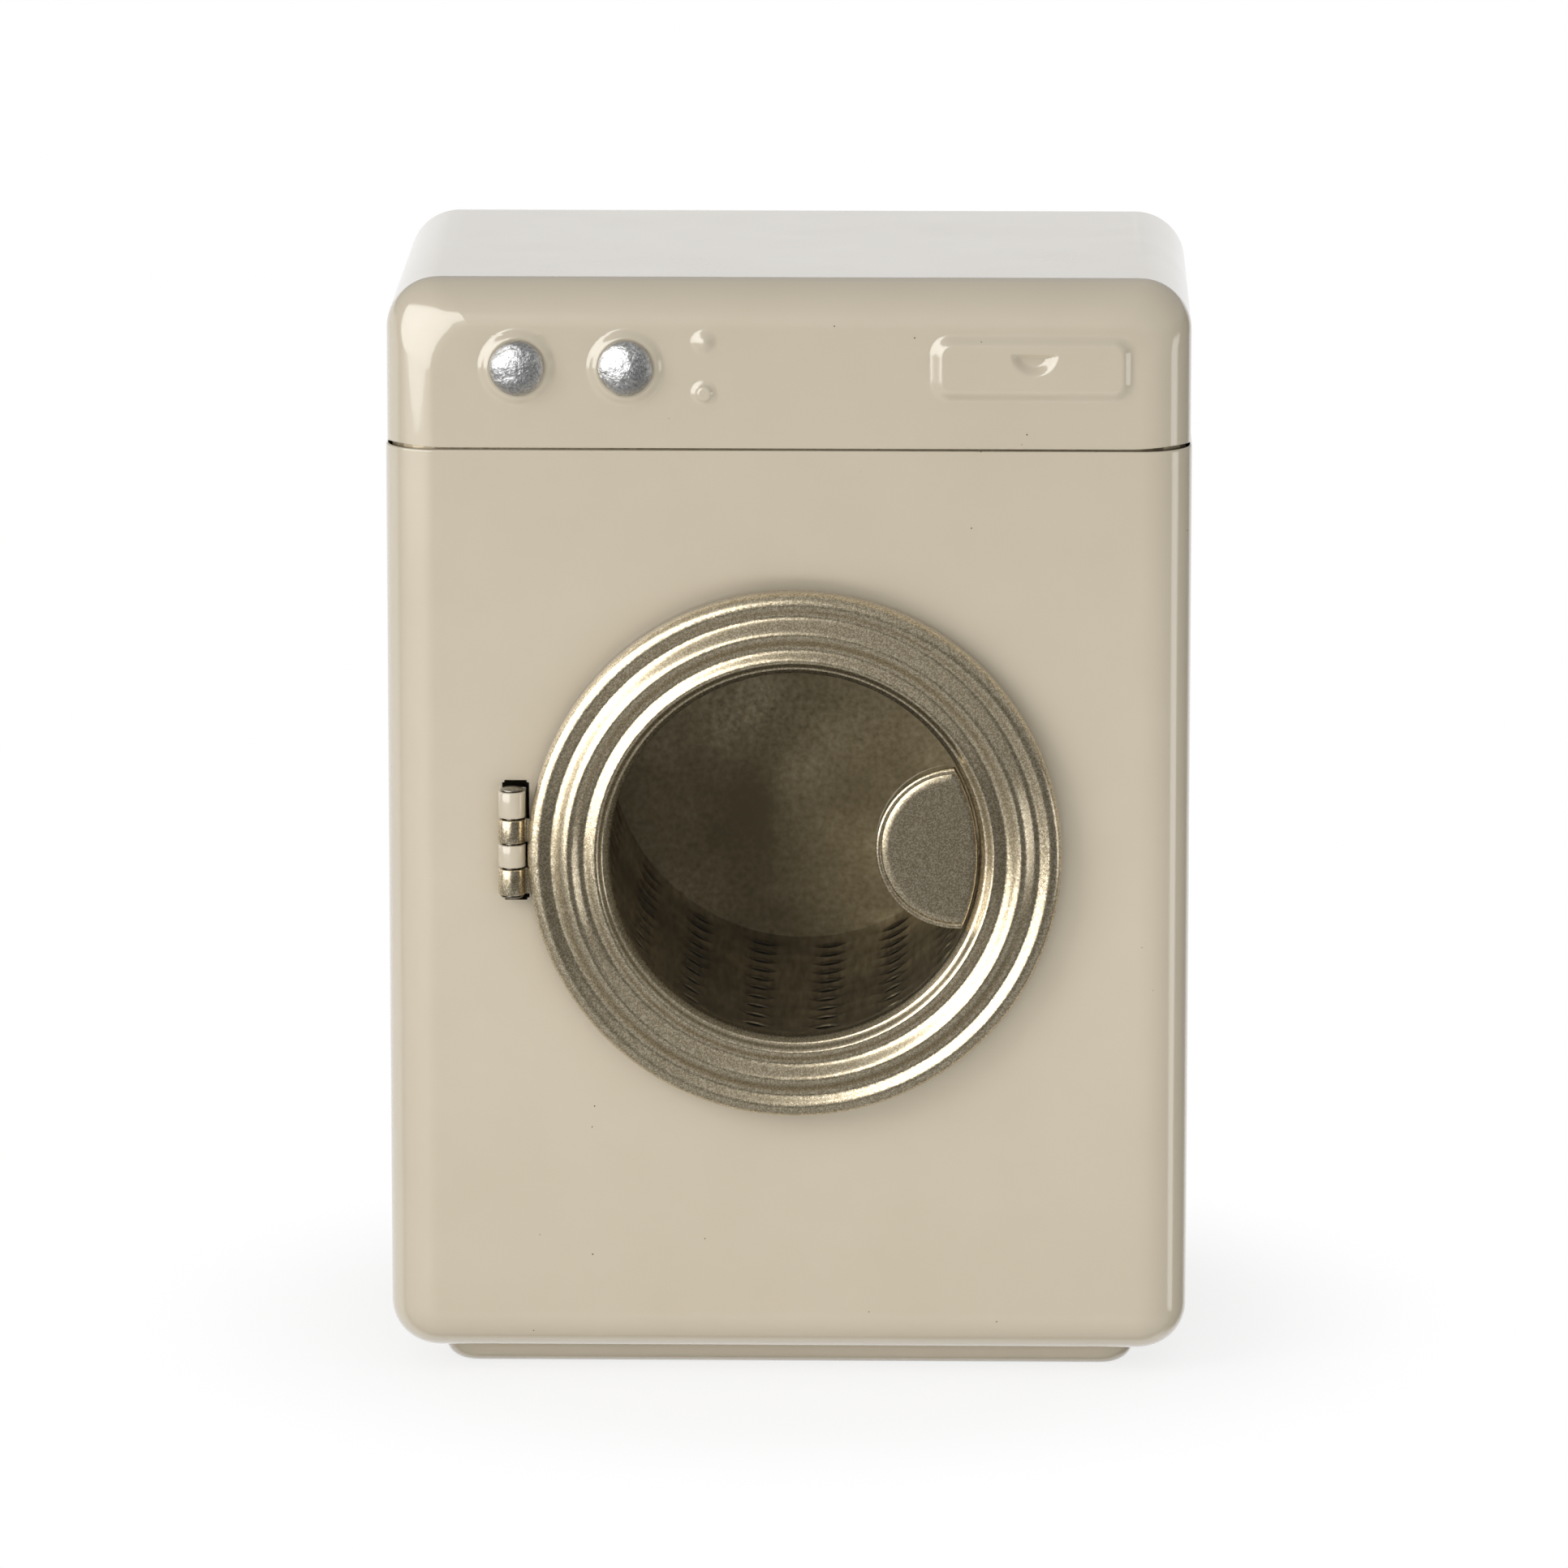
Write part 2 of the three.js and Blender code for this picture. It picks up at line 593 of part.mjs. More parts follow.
// Inside radius of a faceted sleeve that clears the drum's corners.
function drumSleeveRadius() {
  const corner = DRUM_OUTER_RADIUS / Math.cos(Math.PI / DRUM_FACETS);
  return (corner + FIT) / Math.cos(Math.PI / HIDDEN_ROUND_STEPS);
}

function makeDrumCap() {
  const inner = drumSleeveRadius();
  const discLow = -(DRUM_LENGTH + FIT + SHEET);
  const discHigh = discLow + SHEET;
  const profile = [
    [0, discLow],
    [inner + SHEET, discLow],
    [inner + SHEET, discHigh + DRUM_CAP_FLANGE],
    [inner, discHigh + DRUM_CAP_FLANGE],
    [inner, discHigh],
    [0, discHigh],
  ];
  return solid(turned(profile, HIDDEN_ROUND_STEPS));
}

// The sleeve that holds the drum to the back of the front face.
function makeDrumMountRing() {
  const inner = drumSleeveRadius();
  const high = -(SHEET + FIT);
  const profile = [
    [inner, high],
    [inner + MOUNT_FLANGE_WIDTH, high],
    [inner + MOUNT_FLANGE_WIDTH, high - SHEET],
    [inner + SHEET, high - SHEET],
    [inner + SHEET, high - MOUNT_SLEEVE_LENGTH],
    [inner, high - MOUNT_SLEEVE_LENGTH],
    [inner, high],
  ];
  return solid(turned(profile, HIDDEN_ROUND_STEPS));
}

// Door

// Crests and grooves of the beads as [radius, height over the front face].
function beadPoints() {
  return BEADS.map(([share, height]) => [RIM_RADIUS - share * LIP_WIDTH, PLATE_TOP + height]);
}

// The ring's front face, eased from crest to groove so that each bead is round.
function beadCurve() {
  const curve = [];
  const points = beadPoints();
  points.slice(0, -1).forEach(([radius, height], i) => {
    const [nextRadius, nextHeight] = points[i + 1];
    for (let step = 0; step < BEAD_STEPS; step++) {
      const share = step / BEAD_STEPS;
      const eased = (1 - Math.cos(share * Math.PI)) / 2;
      curve.push([
        THREE.MathUtils.lerp(radius, nextRadius, share),
        THREE.MathUtils.lerp(height, nextHeight, eased),
      ]);
    }
  });
  return [...curve, points[points.length - 1]];
}

function leafZRange() {
  const doorHigh = KNUCKLE_LENGTHS[0] + KNUCKLE_LENGTHS[1] + KNUCKLE_LENGTHS[2] + 2 * KNUCKLE_GAP;
  return [HINGE_LOW_Z, HINGE_LOW_Z + doorHigh];
}

// The gap in the ring's rim that the door leaf passes through, in the door's frame.
function leafNotch() {
  const [lowZ, highZ] = leafZRange();
  const rimX = -RIM_RADIUS;
  return box(
    rimX - FINE_OVERLAP,
    rimX + NOTCH_REACH + (RIM_RADIUS - Math.sqrt(RIM_RADIUS ** 2 - (HINGE_LENGTH / 2 + HINGE_RISE) ** 2)),
    lowZ - DOOR_Z - RUNNING,
    highZ - DOOR_Z + RUNNING,
    RIM_FOOT - FINE_OVERLAP,
    LEAF_BACK + SHEET + FIT,
  );
}

function makeDoorRing() {
  const [outermost, ...others] = beadPoints();
  const innerLip = LIP_RADIUS + SHEET;
  const under = others
    .reverse()
    .map(([radius, height]) => [Math.max(radius, innerLip), height - RING_BACK]);
  const profile = [
    [RIM_RADIUS, RIM_FOOT],
    ...beadCurve(),
    [LIP_RADIUS, LIP_FOOT + SHEET],
    [LIP_RADIUS, LIP_FOOT],
    [innerLip, LIP_FOOT],
    ...under,
    [RIM_RADIUS - SHEET, outermost[1] - RIM_ROOF],
    [RIM_RADIUS - SHEET, RIM_FOOT],
    [RIM_RADIUS, RIM_FOOT],
  ];
  return cut(solid(turned(profile)), solid(leafNotch()));
}

function makeDoorBackRing() {
  const spigotOuter = OPENING_RADIUS - SPIGOT_GAP;
  const spigotInner = spigotOuter - SHEET;
  const plateOuter = RIM_RADIUS - SHEET - 2 * FIT;
  const profile = [
    [spigotInner, -SPIGOT_DEPTH],
    [spigotOuter, -SPIGOT_DEPTH],
    [spigotOuter, DOOR_GAP],
    [plateOuter, DOOR_GAP],
    [plateOuter, PLATE_TOP],
    [spigotInner, PLATE_TOP],
    [spigotInner, -SPIGOT_DEPTH],
  ];
  return solid(turned(profile, ROUND_STEPS));
}

function makeWindow() {
  const radius = LIP_RADIUS + WINDOW_OVERLAP;
  return solid(turned(discProfile(radius, WINDOW_BACK, WINDOW_FRONT)));
}

// Where the handle's disc meets a circle about the door's middle, as angles about that middle.
function handleSpan(radius) {
  const distance = Math.hypot(HANDLE_X, HANDLE_RISE);
  const towards = Math.atan2(HANDLE_RISE, HANDLE_X);
  const half = Math.acos((radius ** 2 + distance ** 2 - HANDLE_RADIUS ** 2) / (2 * radius * distance));
  return [towards - half, towards + half];
}

function makeHandle() {
  const outer = LIP_RADIUS - RUNNING;
  const inner = outer - SHEET;
  const [low, high] = handleSpan(outer);
  const angleAt = (angle) =>
    Math.atan2(outer * Math.sin(angle) - HANDLE_RISE, outer * Math.cos(angle) - HANDLE_X);
  const face = new THREE.Shape();
  face.absarc(0, 0, outer, low, high, false);
  face.absarc(HANDLE_X, HANDLE_RISE, HANDLE_RADIUS, angleAt(high), angleAt(low) + 2 * Math.PI, false);
  const plate = new THREE.ExtrudeGeometry(face, {
    depth: SHEET,
    bevelEnabled: false,
    curveSegments: HANDLE_STEPS,
  }).translate(0, 0, HANDLE_HEIGHT);
  const [wallLow, wallHigh] = [low + HANDLE_WALL_TURN, high - HANDLE_WALL_TURN];
  const wall = new THREE.Shape();
  wall.absarc(0, 0, outer, wallLow, wallHigh, false);
  wall.absarc(0, 0, inner, wallHigh, wallLow, true);
  const foot = WINDOW_FRONT + FIT;
  const rise = new THREE.ExtrudeGeometry(wall, {
    depth: HANDLE_HEIGHT + SHEET / 2 - foot,
    bevelEnabled: false,
    curveSegments: HANDLE_STEPS,
  }).translate(0, 0, foot);
  return join(solid(plate), solid(rise));
}

// Hinge, in the cabinet's frame

function knuckle(index) {
  const below = KNUCKLE_LENGTHS.slice(0, index).reduce((sum, length) => sum + length + KNUCKLE_GAP, 0);
  const shape = new THREE.Shape();
  shape.absarc(HINGE_X, HINGE_Y, KNUCKLE_RADIUS, 0, 2 * Math.PI);
  const bore = new THREE.Path();
  bore.absarc(HINGE_X, HINGE_Y, BORE_RADIUS, 0, 2 * Math.PI);
  shape.holes.push(bore);
  const lowZ = HINGE_LOW_Z + below;
  const geometry = new THREE.ExtrudeGeometry(shape, {
    depth: KNUCKLE_LENGTHS[index],
    bevelEnabled: false,
    curveSegments: FINE_ROUND_STEPS,
  }).translate(0, 0, lowZ);
  return { ring: solid(geometry), lowZ, highZ: lowZ + KNUCKLE_LENGTHS[index] };
}

function makeDoorLeaf() {
  const knuckles = [knuckle(0), knuckle(2)];
  const nearY = FRONT_Y - LEAF_BACK;
  const farY = nearY - SHEET;
  const armX = HINGE_X + KNUCKLE_RADIUS - FINE_OVERLAP;
  const plateX = HINGE_X + KNUCKLE_RADIUS + RUNNING + FIT;
  const arms = knuckles.map((k) =>
    solid(box(armX, plateX + FINE_OVERLAP, farY, nearY, k.lowZ, k.highZ)),
  );
  const [lowZ, highZ] = leafZRange();
  const plate = solid(box(plateX, HINGE_X + LEAF_REACH, farY, nearY, lowZ, highZ));
  return join(plate, ...arms, ...knuckles.map((k) => k.ring));
}

function makeBodyLeaf() {
  const knuckles = [knuckle(1), knuckle(3)];
  const plateNearY = FRONT_Y + SHEET + FIT;
  const plateFarY = plateNearY + SHEET;
  const armLowX = HINGE_X + BORE_RADIUS;
  const armHighX = HINGE_X + KNUCKLE_RADIUS;
  const arms = knuckles.map((k) =>
    solid(box(armLowX, armHighX, HINGE_Y, plateFarY, k.lowZ, k.highZ)),
  );
  const plateLowX = EDGE_RADIUS + BODY_LEAF_GAP - WIDTH / 2;
  const plate = solid(box(plateLowX, armHighX, plateNearY, plateFarY, HINGE_LOW_Z, HINGE_HIGH_Z));
  return join(plate, ...arms, ...knuckles.map((k) => k.ring));
}

function makeHingePin() {
  const low = HINGE_LOW_Z - FIT;
  const high = HINGE_HIGH_Z + FIT;
  const profile = [
    [0, low - PIN_HEAD_HEIGHT],
    [PIN_HEAD_RADIUS, low - PIN_HEAD_HEIGHT],
    [PIN_HEAD_RADIUS, low],
    [PIN_RADIUS, low],
    [PIN_RADIUS, high],
    [PIN_HEAD_RADIUS, high],
    [PIN_HEAD_RADIUS, high + PIN_HEAD_HEIGHT],
    [0, high + PIN_HEAD_HEIGHT],
  ];
  return solid(turned(profile, FINE_ROUND_STEPS).translate(HINGE_X, HINGE_Y, 0));
}

// Dials, in the front frame

function makeDial() {
  const base = PANEL_TOP + FIT;
  const dome = Array.from({ length: EDGE_STEPS + 1 }, (_, i) => {
    const angle = (i / EDGE_STEPS) * (Math.PI / 2);
    return [DIAL_RADIUS * Math.sin(angle), base + DIAL_DOME * Math.cos(angle)];
  });
  dome[0][0] = 0;
  const tailTop = WASHER_TOP - SHEET - FIT;
  const profile = [
    ...dome,
    [SHANK_RADIUS, base],
    [SHANK_RADIUS, tailTop],
    [TAIL_RADIUS, tailTop],
    [TAIL_RADIUS, tailTop - SHEET],
    [0, tailTop - SHEET],
  ];
  return solid(turned(profile, SMALL_ROUND_STEPS));
}

function makeDialWasher() {
  const profile = ringProfile(SHANK_RADIUS + FIT, WASHER_RADIUS, WASHER_TOP - SHEET, WASHER_TOP);
  return solid(turned(profile, FINE_ROUND_STEPS));
}

// The scene: the cabinet's own frame holds the shells and the hinge, the front frame what is turned in it

const machine = new THREE.Group();
const front = new THREE.Group();
front.position.set(0, FRONT_Y, 0);
front.rotation.x = Math.PI / 2;
machine.add(front);
const porthole = new THREE.Group();
porthole.position.set(DOOR_X, DOOR_Z, 0);
front.add(porthole);

function place(parent, name, made, material, x = 0, y = 0) {
  const mesh = new THREE.Mesh(geometryOf(made), material);
  mesh.name = name;
  mesh.position.set(x, y, 0);
  parent.add(mesh);
}

place(machine, "body_shell", makeBodyShell(), beigeEnamel);
place(machine, "base_pan", makeBasePan().translate([0, (FRONT_Y + BACK_Y) / 2, 0]), beigeEnamel);
place(machine, "head_shell", makeHeadShell(), beigeEnamel);
place(machine, "neck_band", makeNeckBand().translate([0, (FRONT_Y + BACK_Y) / 2, 0]), tinplate);
place(porthole, "drum_shell", makeDrumShell(), tinplate);
place(porthole, "drum_end_cap", makeDrumCap(), tinplate);
place(porthole, "drum_mount_ring", makeDrumMountRing(), tinplate);
place(porthole, "door_ring", makeDoorRing(), champagnePaint);
place(porthole, "door_back_ring", makeDoorBackRing(), tinplate);
place(porthole, "door_window", makeWindow(), clearSheet);
place(porthole, "door_handle", makeHandle(), champagnePaint);
place(machine, "door_hinge_leaf", makeDoorLeaf(), champagnePaint);
place(machine, "body_hinge_leaf", makeBodyLeaf(), beigeEnamel);
place(machine, "hinge_pin", makeHingePin(), hingeSteel);
["left", "right"].forEach((side, i) => {
  const x = dialPlaces()[i];
  const y = HEIGHT - DIAL_DROP;
  place(front, `dial_${side}`, makeDial(), castSilver, x, y);
  place(front, `dial_washer_${side}`, makeDialWasher(), hingeSteel, x, y);
});

export default machine;
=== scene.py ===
import math

import bmesh
import bpy
import numpy as np
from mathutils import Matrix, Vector, noise


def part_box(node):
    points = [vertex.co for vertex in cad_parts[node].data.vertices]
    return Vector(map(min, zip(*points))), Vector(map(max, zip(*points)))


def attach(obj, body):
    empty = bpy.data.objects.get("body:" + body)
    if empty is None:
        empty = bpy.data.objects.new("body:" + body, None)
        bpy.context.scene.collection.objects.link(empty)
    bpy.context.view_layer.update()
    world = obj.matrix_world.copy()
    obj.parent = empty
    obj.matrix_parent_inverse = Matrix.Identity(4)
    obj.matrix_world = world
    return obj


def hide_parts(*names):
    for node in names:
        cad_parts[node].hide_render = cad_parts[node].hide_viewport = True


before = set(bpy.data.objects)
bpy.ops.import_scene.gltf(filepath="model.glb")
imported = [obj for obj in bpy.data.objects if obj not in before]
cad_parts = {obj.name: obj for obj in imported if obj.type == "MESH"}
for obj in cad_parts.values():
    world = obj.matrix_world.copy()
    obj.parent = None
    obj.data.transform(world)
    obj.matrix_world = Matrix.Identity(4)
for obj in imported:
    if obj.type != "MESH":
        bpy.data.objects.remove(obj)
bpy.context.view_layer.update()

# %% [markdown]
# # A dollhouse washing machine in painted tinplate
#
# The real toy is pressed from sheet 0.4 mm thick: a wrapped box for the body, a lid-like head with the
# controls embossed in it, a foot, a drum of perforated sheet and a porthole door on a rolled hinge.
# Nearly all of its look is gloss on gentle curves, so each piece is made again here as a fine skin, in
# the place that the frame gives it. We think in millimetres, and MM turns them to Blender's metres.

# %% Sizes of the cabinet, read from the frame
MM = 0.001
SHEET = 0.4  # thickness of the tinplate
HAIR = 1e-6  # less than any real size, for comparing two


def extent(node):
    """A frame node's lowest and highest corner, in millimetres."""
    low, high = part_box(node)
    return low / MM, high / MM


body_low, body_high = extent("body_shell")
head_low, head_high = extent("head_shell")
pan_high = extent("base_pan")[1]
ring_low, ring_high = extent("door_ring")
HALF_WIDTH = body_high.x
FRONT = body_low.y  # the front face
BACK = body_high.y
MIDDLE_Y = (FRONT + BACK) / 2
HALF_DEPTH = (BACK - FRONT) / 2
SEAM_Z = body_high.z
DOOR_X = (ring_low.x + ring_high.x) / 2
DOOR_Z = (ring_low.z + ring_high.z) / 2
RIM_RADIUS = (ring_high.x - ring_low.x) / 2
print(f"cabinet {2 * HALF_WIDTH:.1f} x {2 * HALF_DEPTH:.1f} x {head_high.z:.1f} mm")
print(f"door's middle {DOOR_X:.1f}, {DOOR_Z:.1f}, rim radius {RIM_RADIUS:.1f} mm")

# %% [markdown]
# ## From lists of points to pieces
#
# Three kinds of skin make every piece. A turned skin sweeps a profile round an axis, a drawn skin joins
# outlines one above the other, and a slab is a small block with eased edges. Each returns points and
# faces, so that several can go into one piece. Shading stays smooth except across edges sharper than a
# given angle, and weighted normals keep the large flat sides flat where they meet a rounded edge.

# %% Making a piece
COAT_ANGLE = math.radians(38)  # paint rounds off every edge that turns less than this
WELD = 0.0005  # points nearer than this become one
STAMPED_EDGE = 0.05  # how far a stamped piece's edges are rounded


def shade(piece, angle=COAT_ANGLE):
    """Turns the faces outwards and shades them smooth up to an angle."""
    mesh = bmesh.new()
    mesh.from_mesh(piece.data)
    bmesh.ops.remove_doubles(mesh, verts=mesh.verts, dist=WELD * MM)
    bmesh.ops.recalc_face_normals(mesh, faces=mesh.faces)
    for face in mesh.faces:
        face.smooth = True
    for edge in mesh.edges:
        edge.smooth = edge.calc_face_angle(0) < angle
    mesh.to_mesh(piece.data)
    mesh.free()


def make(name, *skins):
    """One piece from skins of points in millimetres."""
    points, faces = [], []
    for skin_points, skin_faces in skins:
        start = len(points)
        points += [(x * MM, y * MM, z * MM) for x, y, z in skin_points]
        faces += [[start + corner for corner in face] for face in skin_faces]
    mesh = bpy.data.meshes.new(name)
    mesh.from_pydata(points, [], faces)
    piece = bpy.data.objects.new(name, mesh)
    bpy.context.collection.objects.link(piece)
    shade(piece)
    return piece


def keep_flat(piece):
    """Lets the large flat sides rule the shading where they meet a rounded edge."""
    piece.modifiers.new("flat sides", "WEIGHTED_NORMAL").keep_sharp = True


def settle(piece):
    """Turns a piece's modifiers into its mesh."""
    graph = bpy.context.evaluated_depsgraph_get()
    piece.data = bpy.data.meshes.new_from_object(piece.evaluated_get(graph))
    piece.modifiers.clear()
    shade(piece)


def thicken(piece, offset):
    """Gives a skin the sheet's thickness: inwards at an offset of -1, outwards at 1."""
    sheet = piece.modifiers.new("sheet", "SOLIDIFY")
    sheet.thickness = SHEET * MM
    sheet.offset = offset
    settle(piece)


def combine(piece, operation, *tools):
    """Cuts tools out of a piece, or joins them to it, and clears them away."""
    for tool in tools:
        step = piece.modifiers.new("tool", "BOOLEAN")
        step.operation = operation
        step.object = tool
    settle(piece)
    for tool in tools:
        bpy.data.objects.remove(tool)


def skin_between(rings, loop=False, caps=False):
    """Quads between rings of point numbers; a ring may be one point, again and again."""
    pairs = list(zip(rings, rings[1:])) + ([(rings[-1], rings[0])] if loop else [])
    faces = []
    for low, high in pairs:
        for i in range(len(low)):
            j = (i + 1) % len(low)
            face = list(dict.fromkeys([low[i], low[j], high[j], high[i]]))
            if len(face) > 2:
                faces.append(face)
    if caps:
        faces += [list(rings[0]), list(rings[-1])]
    return faces


def turned(profile, put, steps, loop=False):
    """A profile of (radius, height) swept round an axis; put(u, v, height) places a point."""
    points, rings = [], []
    for radius, height in profile:
        start = len(points)
        if radius < HAIR:
            points.append(put(0, 0, height))
            rings.append([start] * steps)
            continue
        for i in range(steps):
            angle = 2 * math.pi * i / steps
            points.append(put(radius * math.cos(angle), radius * math.sin(angle), height))
        rings.append(list(range(start, start + steps)))
    return points, skin_between(rings, loop)


def drawn(outlines, loop=False, caps=False):
    """A skin through outlines that all have the same number of points."""
    count = len(outlines[0])
    rings = [list(range(i * count, (i + 1) * count)) for i in range(len(outlines))]
    return [point for outline in outlines for point in outline], skin_between(rings, loop, caps)


def slab(low, high, edge=STAMPED_EDGE):
    """A block between two corners, its edges rounded."""
    block = bmesh.new()
    bmesh.ops.create_cube(block, size=1)
    for vertex in block.verts:
        vertex.co = [lo + (c + 0.5) * (hi - lo) for c, lo, hi in zip(vertex.co, low, high)]
    bmesh.ops.bevel(block, geom=block.edges[:], offset=edge, segments=2, affect="EDGES")
    block.verts.index_update()
    points = [tuple(vertex.co) for vertex in block.verts]
    faces = [[vertex.index for vertex in face.verts] for face in block.faces]
    block.free()
    return points, faces


def arc(start_angle, end_angle, steps):
    """Angles along an arc, both ends included."""
    return [start_angle + (end_angle - start_angle) * i / steps for i in range(steps + 1)]


QUARTER = math.pi / 2
print(f"sheet {SHEET} mm, smooth up to {math.degrees(COAT_ANGLE):.0f} degrees")

# %% [markdown]
# ## Rounded outlines
#
# Body, head and foot are all rounded rectangles in plan. One function draws such an outline, always
# with the same number of points, so that outlines of any inset can be joined to a skin. Extra columns
# can be given along the front, for embossing, and along the back, for the lock seam.

# %% Outline of a rounded rectangle
CORNER_STEPS = 14


def outline(half_width, half_depth, radius, z, front_columns=(), back_columns=()):
    """Points round a rounded rectangle; back columns are (x, how far it is pressed in)."""
    points = []
    corners = [(1, 1), (-1, 1), (-1, -1), (1, -1)]
    for quarter, (side_x, side_y) in enumerate(corners):
        for angle in arc(quarter * QUARTER, (quarter + 1) * QUARTER, CORNER_STEPS):
            x = side_x * (half_width - radius) + radius * math.cos(angle)
            y = side_y * (half_depth - radius) + radius * math.sin(angle)
            points.append((x, MIDDLE_Y + y, z))
        if quarter == 0:
            points += [(x, MIDDLE_Y + half_depth - press, z) for x, press in back_columns]
        if quarter == 2:
            points += [(x, MIDDLE_Y - half_depth, z) for x in front_columns]
    return points


# %% [markdown]
# ## Enamel
#
# The cabinet is tinplate under a glossy baked enamel in a warm cream. It could be one flat glossy
# colour, but real enamel on a small tin shows three more things: a faint orange peel, the slow waves of
# thin sheet, which bend every reflection, and a few dark specks of dust baked in. The peel and the
# waves are heights in real millimetres for a bump node, and the specks are the cores of Voronoi cells.


# %% Colours and nodes
def srgb(hex_colour):
    """A colour written as sRGB hex, as the linear colour that shaders take."""
    channels = [int(hex_colour[i : i + 2], 16) / 255 for i in (1, 3, 5)]
    linear = [c / 12.92 if c <= 0.04045 else ((c + 0.055) / 1.055) ** 2.4 for c in channels]
    return (*linear, 1.0)


def add(tree, kind, inputs=None, **settings):
    """Adds a node; inputs are values or other nodes' outputs, by socket."""
    made = tree.nodes.new("ShaderNode" + kind)
    for name, value in settings.items():
        setattr(made, name, value)
    for socket, value in (inputs or {}).items():
        if isinstance(value, bpy.types.NodeSocket):
            tree.links.new(value, made.inputs[socket])
        else:
            made.inputs[socket].default_value = value
    return made


def finish_named(name):
    """A new material with an empty tree, that tree, and the coordinates of the piece."""
    material = bpy.data.materials.new(name)
    material.use_nodes = True
    tree = material.node_tree
    tree.nodes.clear()
    return material, tree, add(tree, "TexCoord").outputs["Object"]


def per(millimetres):
    """The scale at which a texture repeats about every so many millimetres."""
    return 1 / (millimetres * MM)


def surface(tree, shader):
    """Ends a material's tree in this shader."""
    add(tree, "OutputMaterial", {"Surface": shader})


# %% Cream enamel
PEEL_WIDTH, PEEL_HEIGHT = 1.3, 0.0012
WAVE_WIDTH, WAVE_HEIGHT = 24, 0.035
SPECK_CELL, SPECK_RADIUS, SPECK_SHARE = 3.0, 0.11, 0.3
MOTTLE_WIDTH = 9
SMOOTHEST, DULLEST = 0.14, 0.22  # roughness of the enamel


def cream_enamel():
    material, tree, place = finish_named("baked cream enamel on tinplate")
    peel = add(tree, "TexNoise", {"Vector": place, "Scale": per(PEEL_WIDTH), "Detail": 1.0})
    wave = add(tree, "TexNoise", {"Vector": place, "Scale": per(WAVE_WIDTH), "Detail": 1.0})
    peel_height = add(tree, "Math", {0: peel.outputs["Fac"], 1: PEEL_HEIGHT * MM}, operation="MULTIPLY")
    height = add(
        tree,
        "Math",
        {0: wave.outputs["Fac"], 1: WAVE_HEIGHT * MM, 2: peel_height.outputs[0]},
        operation="MULTIPLY_ADD",
    )
    bump = add(tree, "Bump", {"Height": height.outputs[0], "Distance": 1.0})
    dust = add(tree, "TexVoronoi", {"Vector": place, "Scale": per(SPECK_CELL)})
    core = add(
        tree,
        "MapRange",
        {
            "Value": dust.outputs["Distance"],
            "From Min": SPECK_RADIUS / SPECK_CELL,
            "From Max": 0.5 * SPECK_RADIUS / SPECK_CELL,
        },
    )
    chosen = add(tree, "Math", {0: dust.outputs["Color"], 1: 1 - SPECK_SHARE}, operation="GREATER_THAN")
    speck = add(tree, "Math", {0: core.outputs[0], 1: chosen.outputs[0]}, operation="MULTIPLY")
    mottle = add(tree, "TexNoise", {"Vector": place, "Scale": per(MOTTLE_WIDTH), "Detail": 3.0})
    tone = add(
        tree,
        "Mix",
        {0: mottle.outputs["Fac"], 6: srgb("#c5baa5"), 7: srgb("#cabfab")},
        data_type="RGBA",
    )
    colour = add(
        tree,
        "Mix",
        {0: speck.outputs[0], 6: tone.outputs[2], 7: srgb("#4a3f30")},
        data_type="RGBA",
    )
    rough = add(
        tree, "MapRange", {"Value": mottle.outputs["Fac"], "To Min": SMOOTHEST, "To Max": DULLEST}
    )
    # Enamel is a hard clear gloss over pigment, so a coat lies on a slightly duller base.
    paint = add(
        tree,
        "BsdfPrincipled",
        {
            "Base Color": colour.outputs[2],
            "Roughness": rough.outputs[0],
            "IOR": 1.5,
            "Coat Weight": 0.8,
            "Coat Roughness": 0.03,
            "Coat IOR": 1.5,
            "Normal": bump.outputs[0],
            "Coat Normal": bump.outputs[0],
        },
    )
    surface(tree, paint.outputs[0])
    return material


ENAMEL = cream_enamel()
print("made", ENAMEL.name)

# %% [markdown]
# ## Champagne paint
#
# The porthole is sprayed with a paint full of fine metal flakes. Each flake lies a little askew, so
# from any side some flash and some go dark, and the sparkle is what tells it from plain gold. Each
# Voronoi cell is one flake: its random colour picks the flake's tone and tips its normal. Real flakes
# are about 0.05 mm across and clump in the spray; they are drawn 0.14 mm wide, as coarse as they need
# to be to show.

# %% Flake paint
FLAKE_WIDTH = 0.14
DARKEST_BELOW = 0.15  # a flake whose random level is lower has the darkest tone


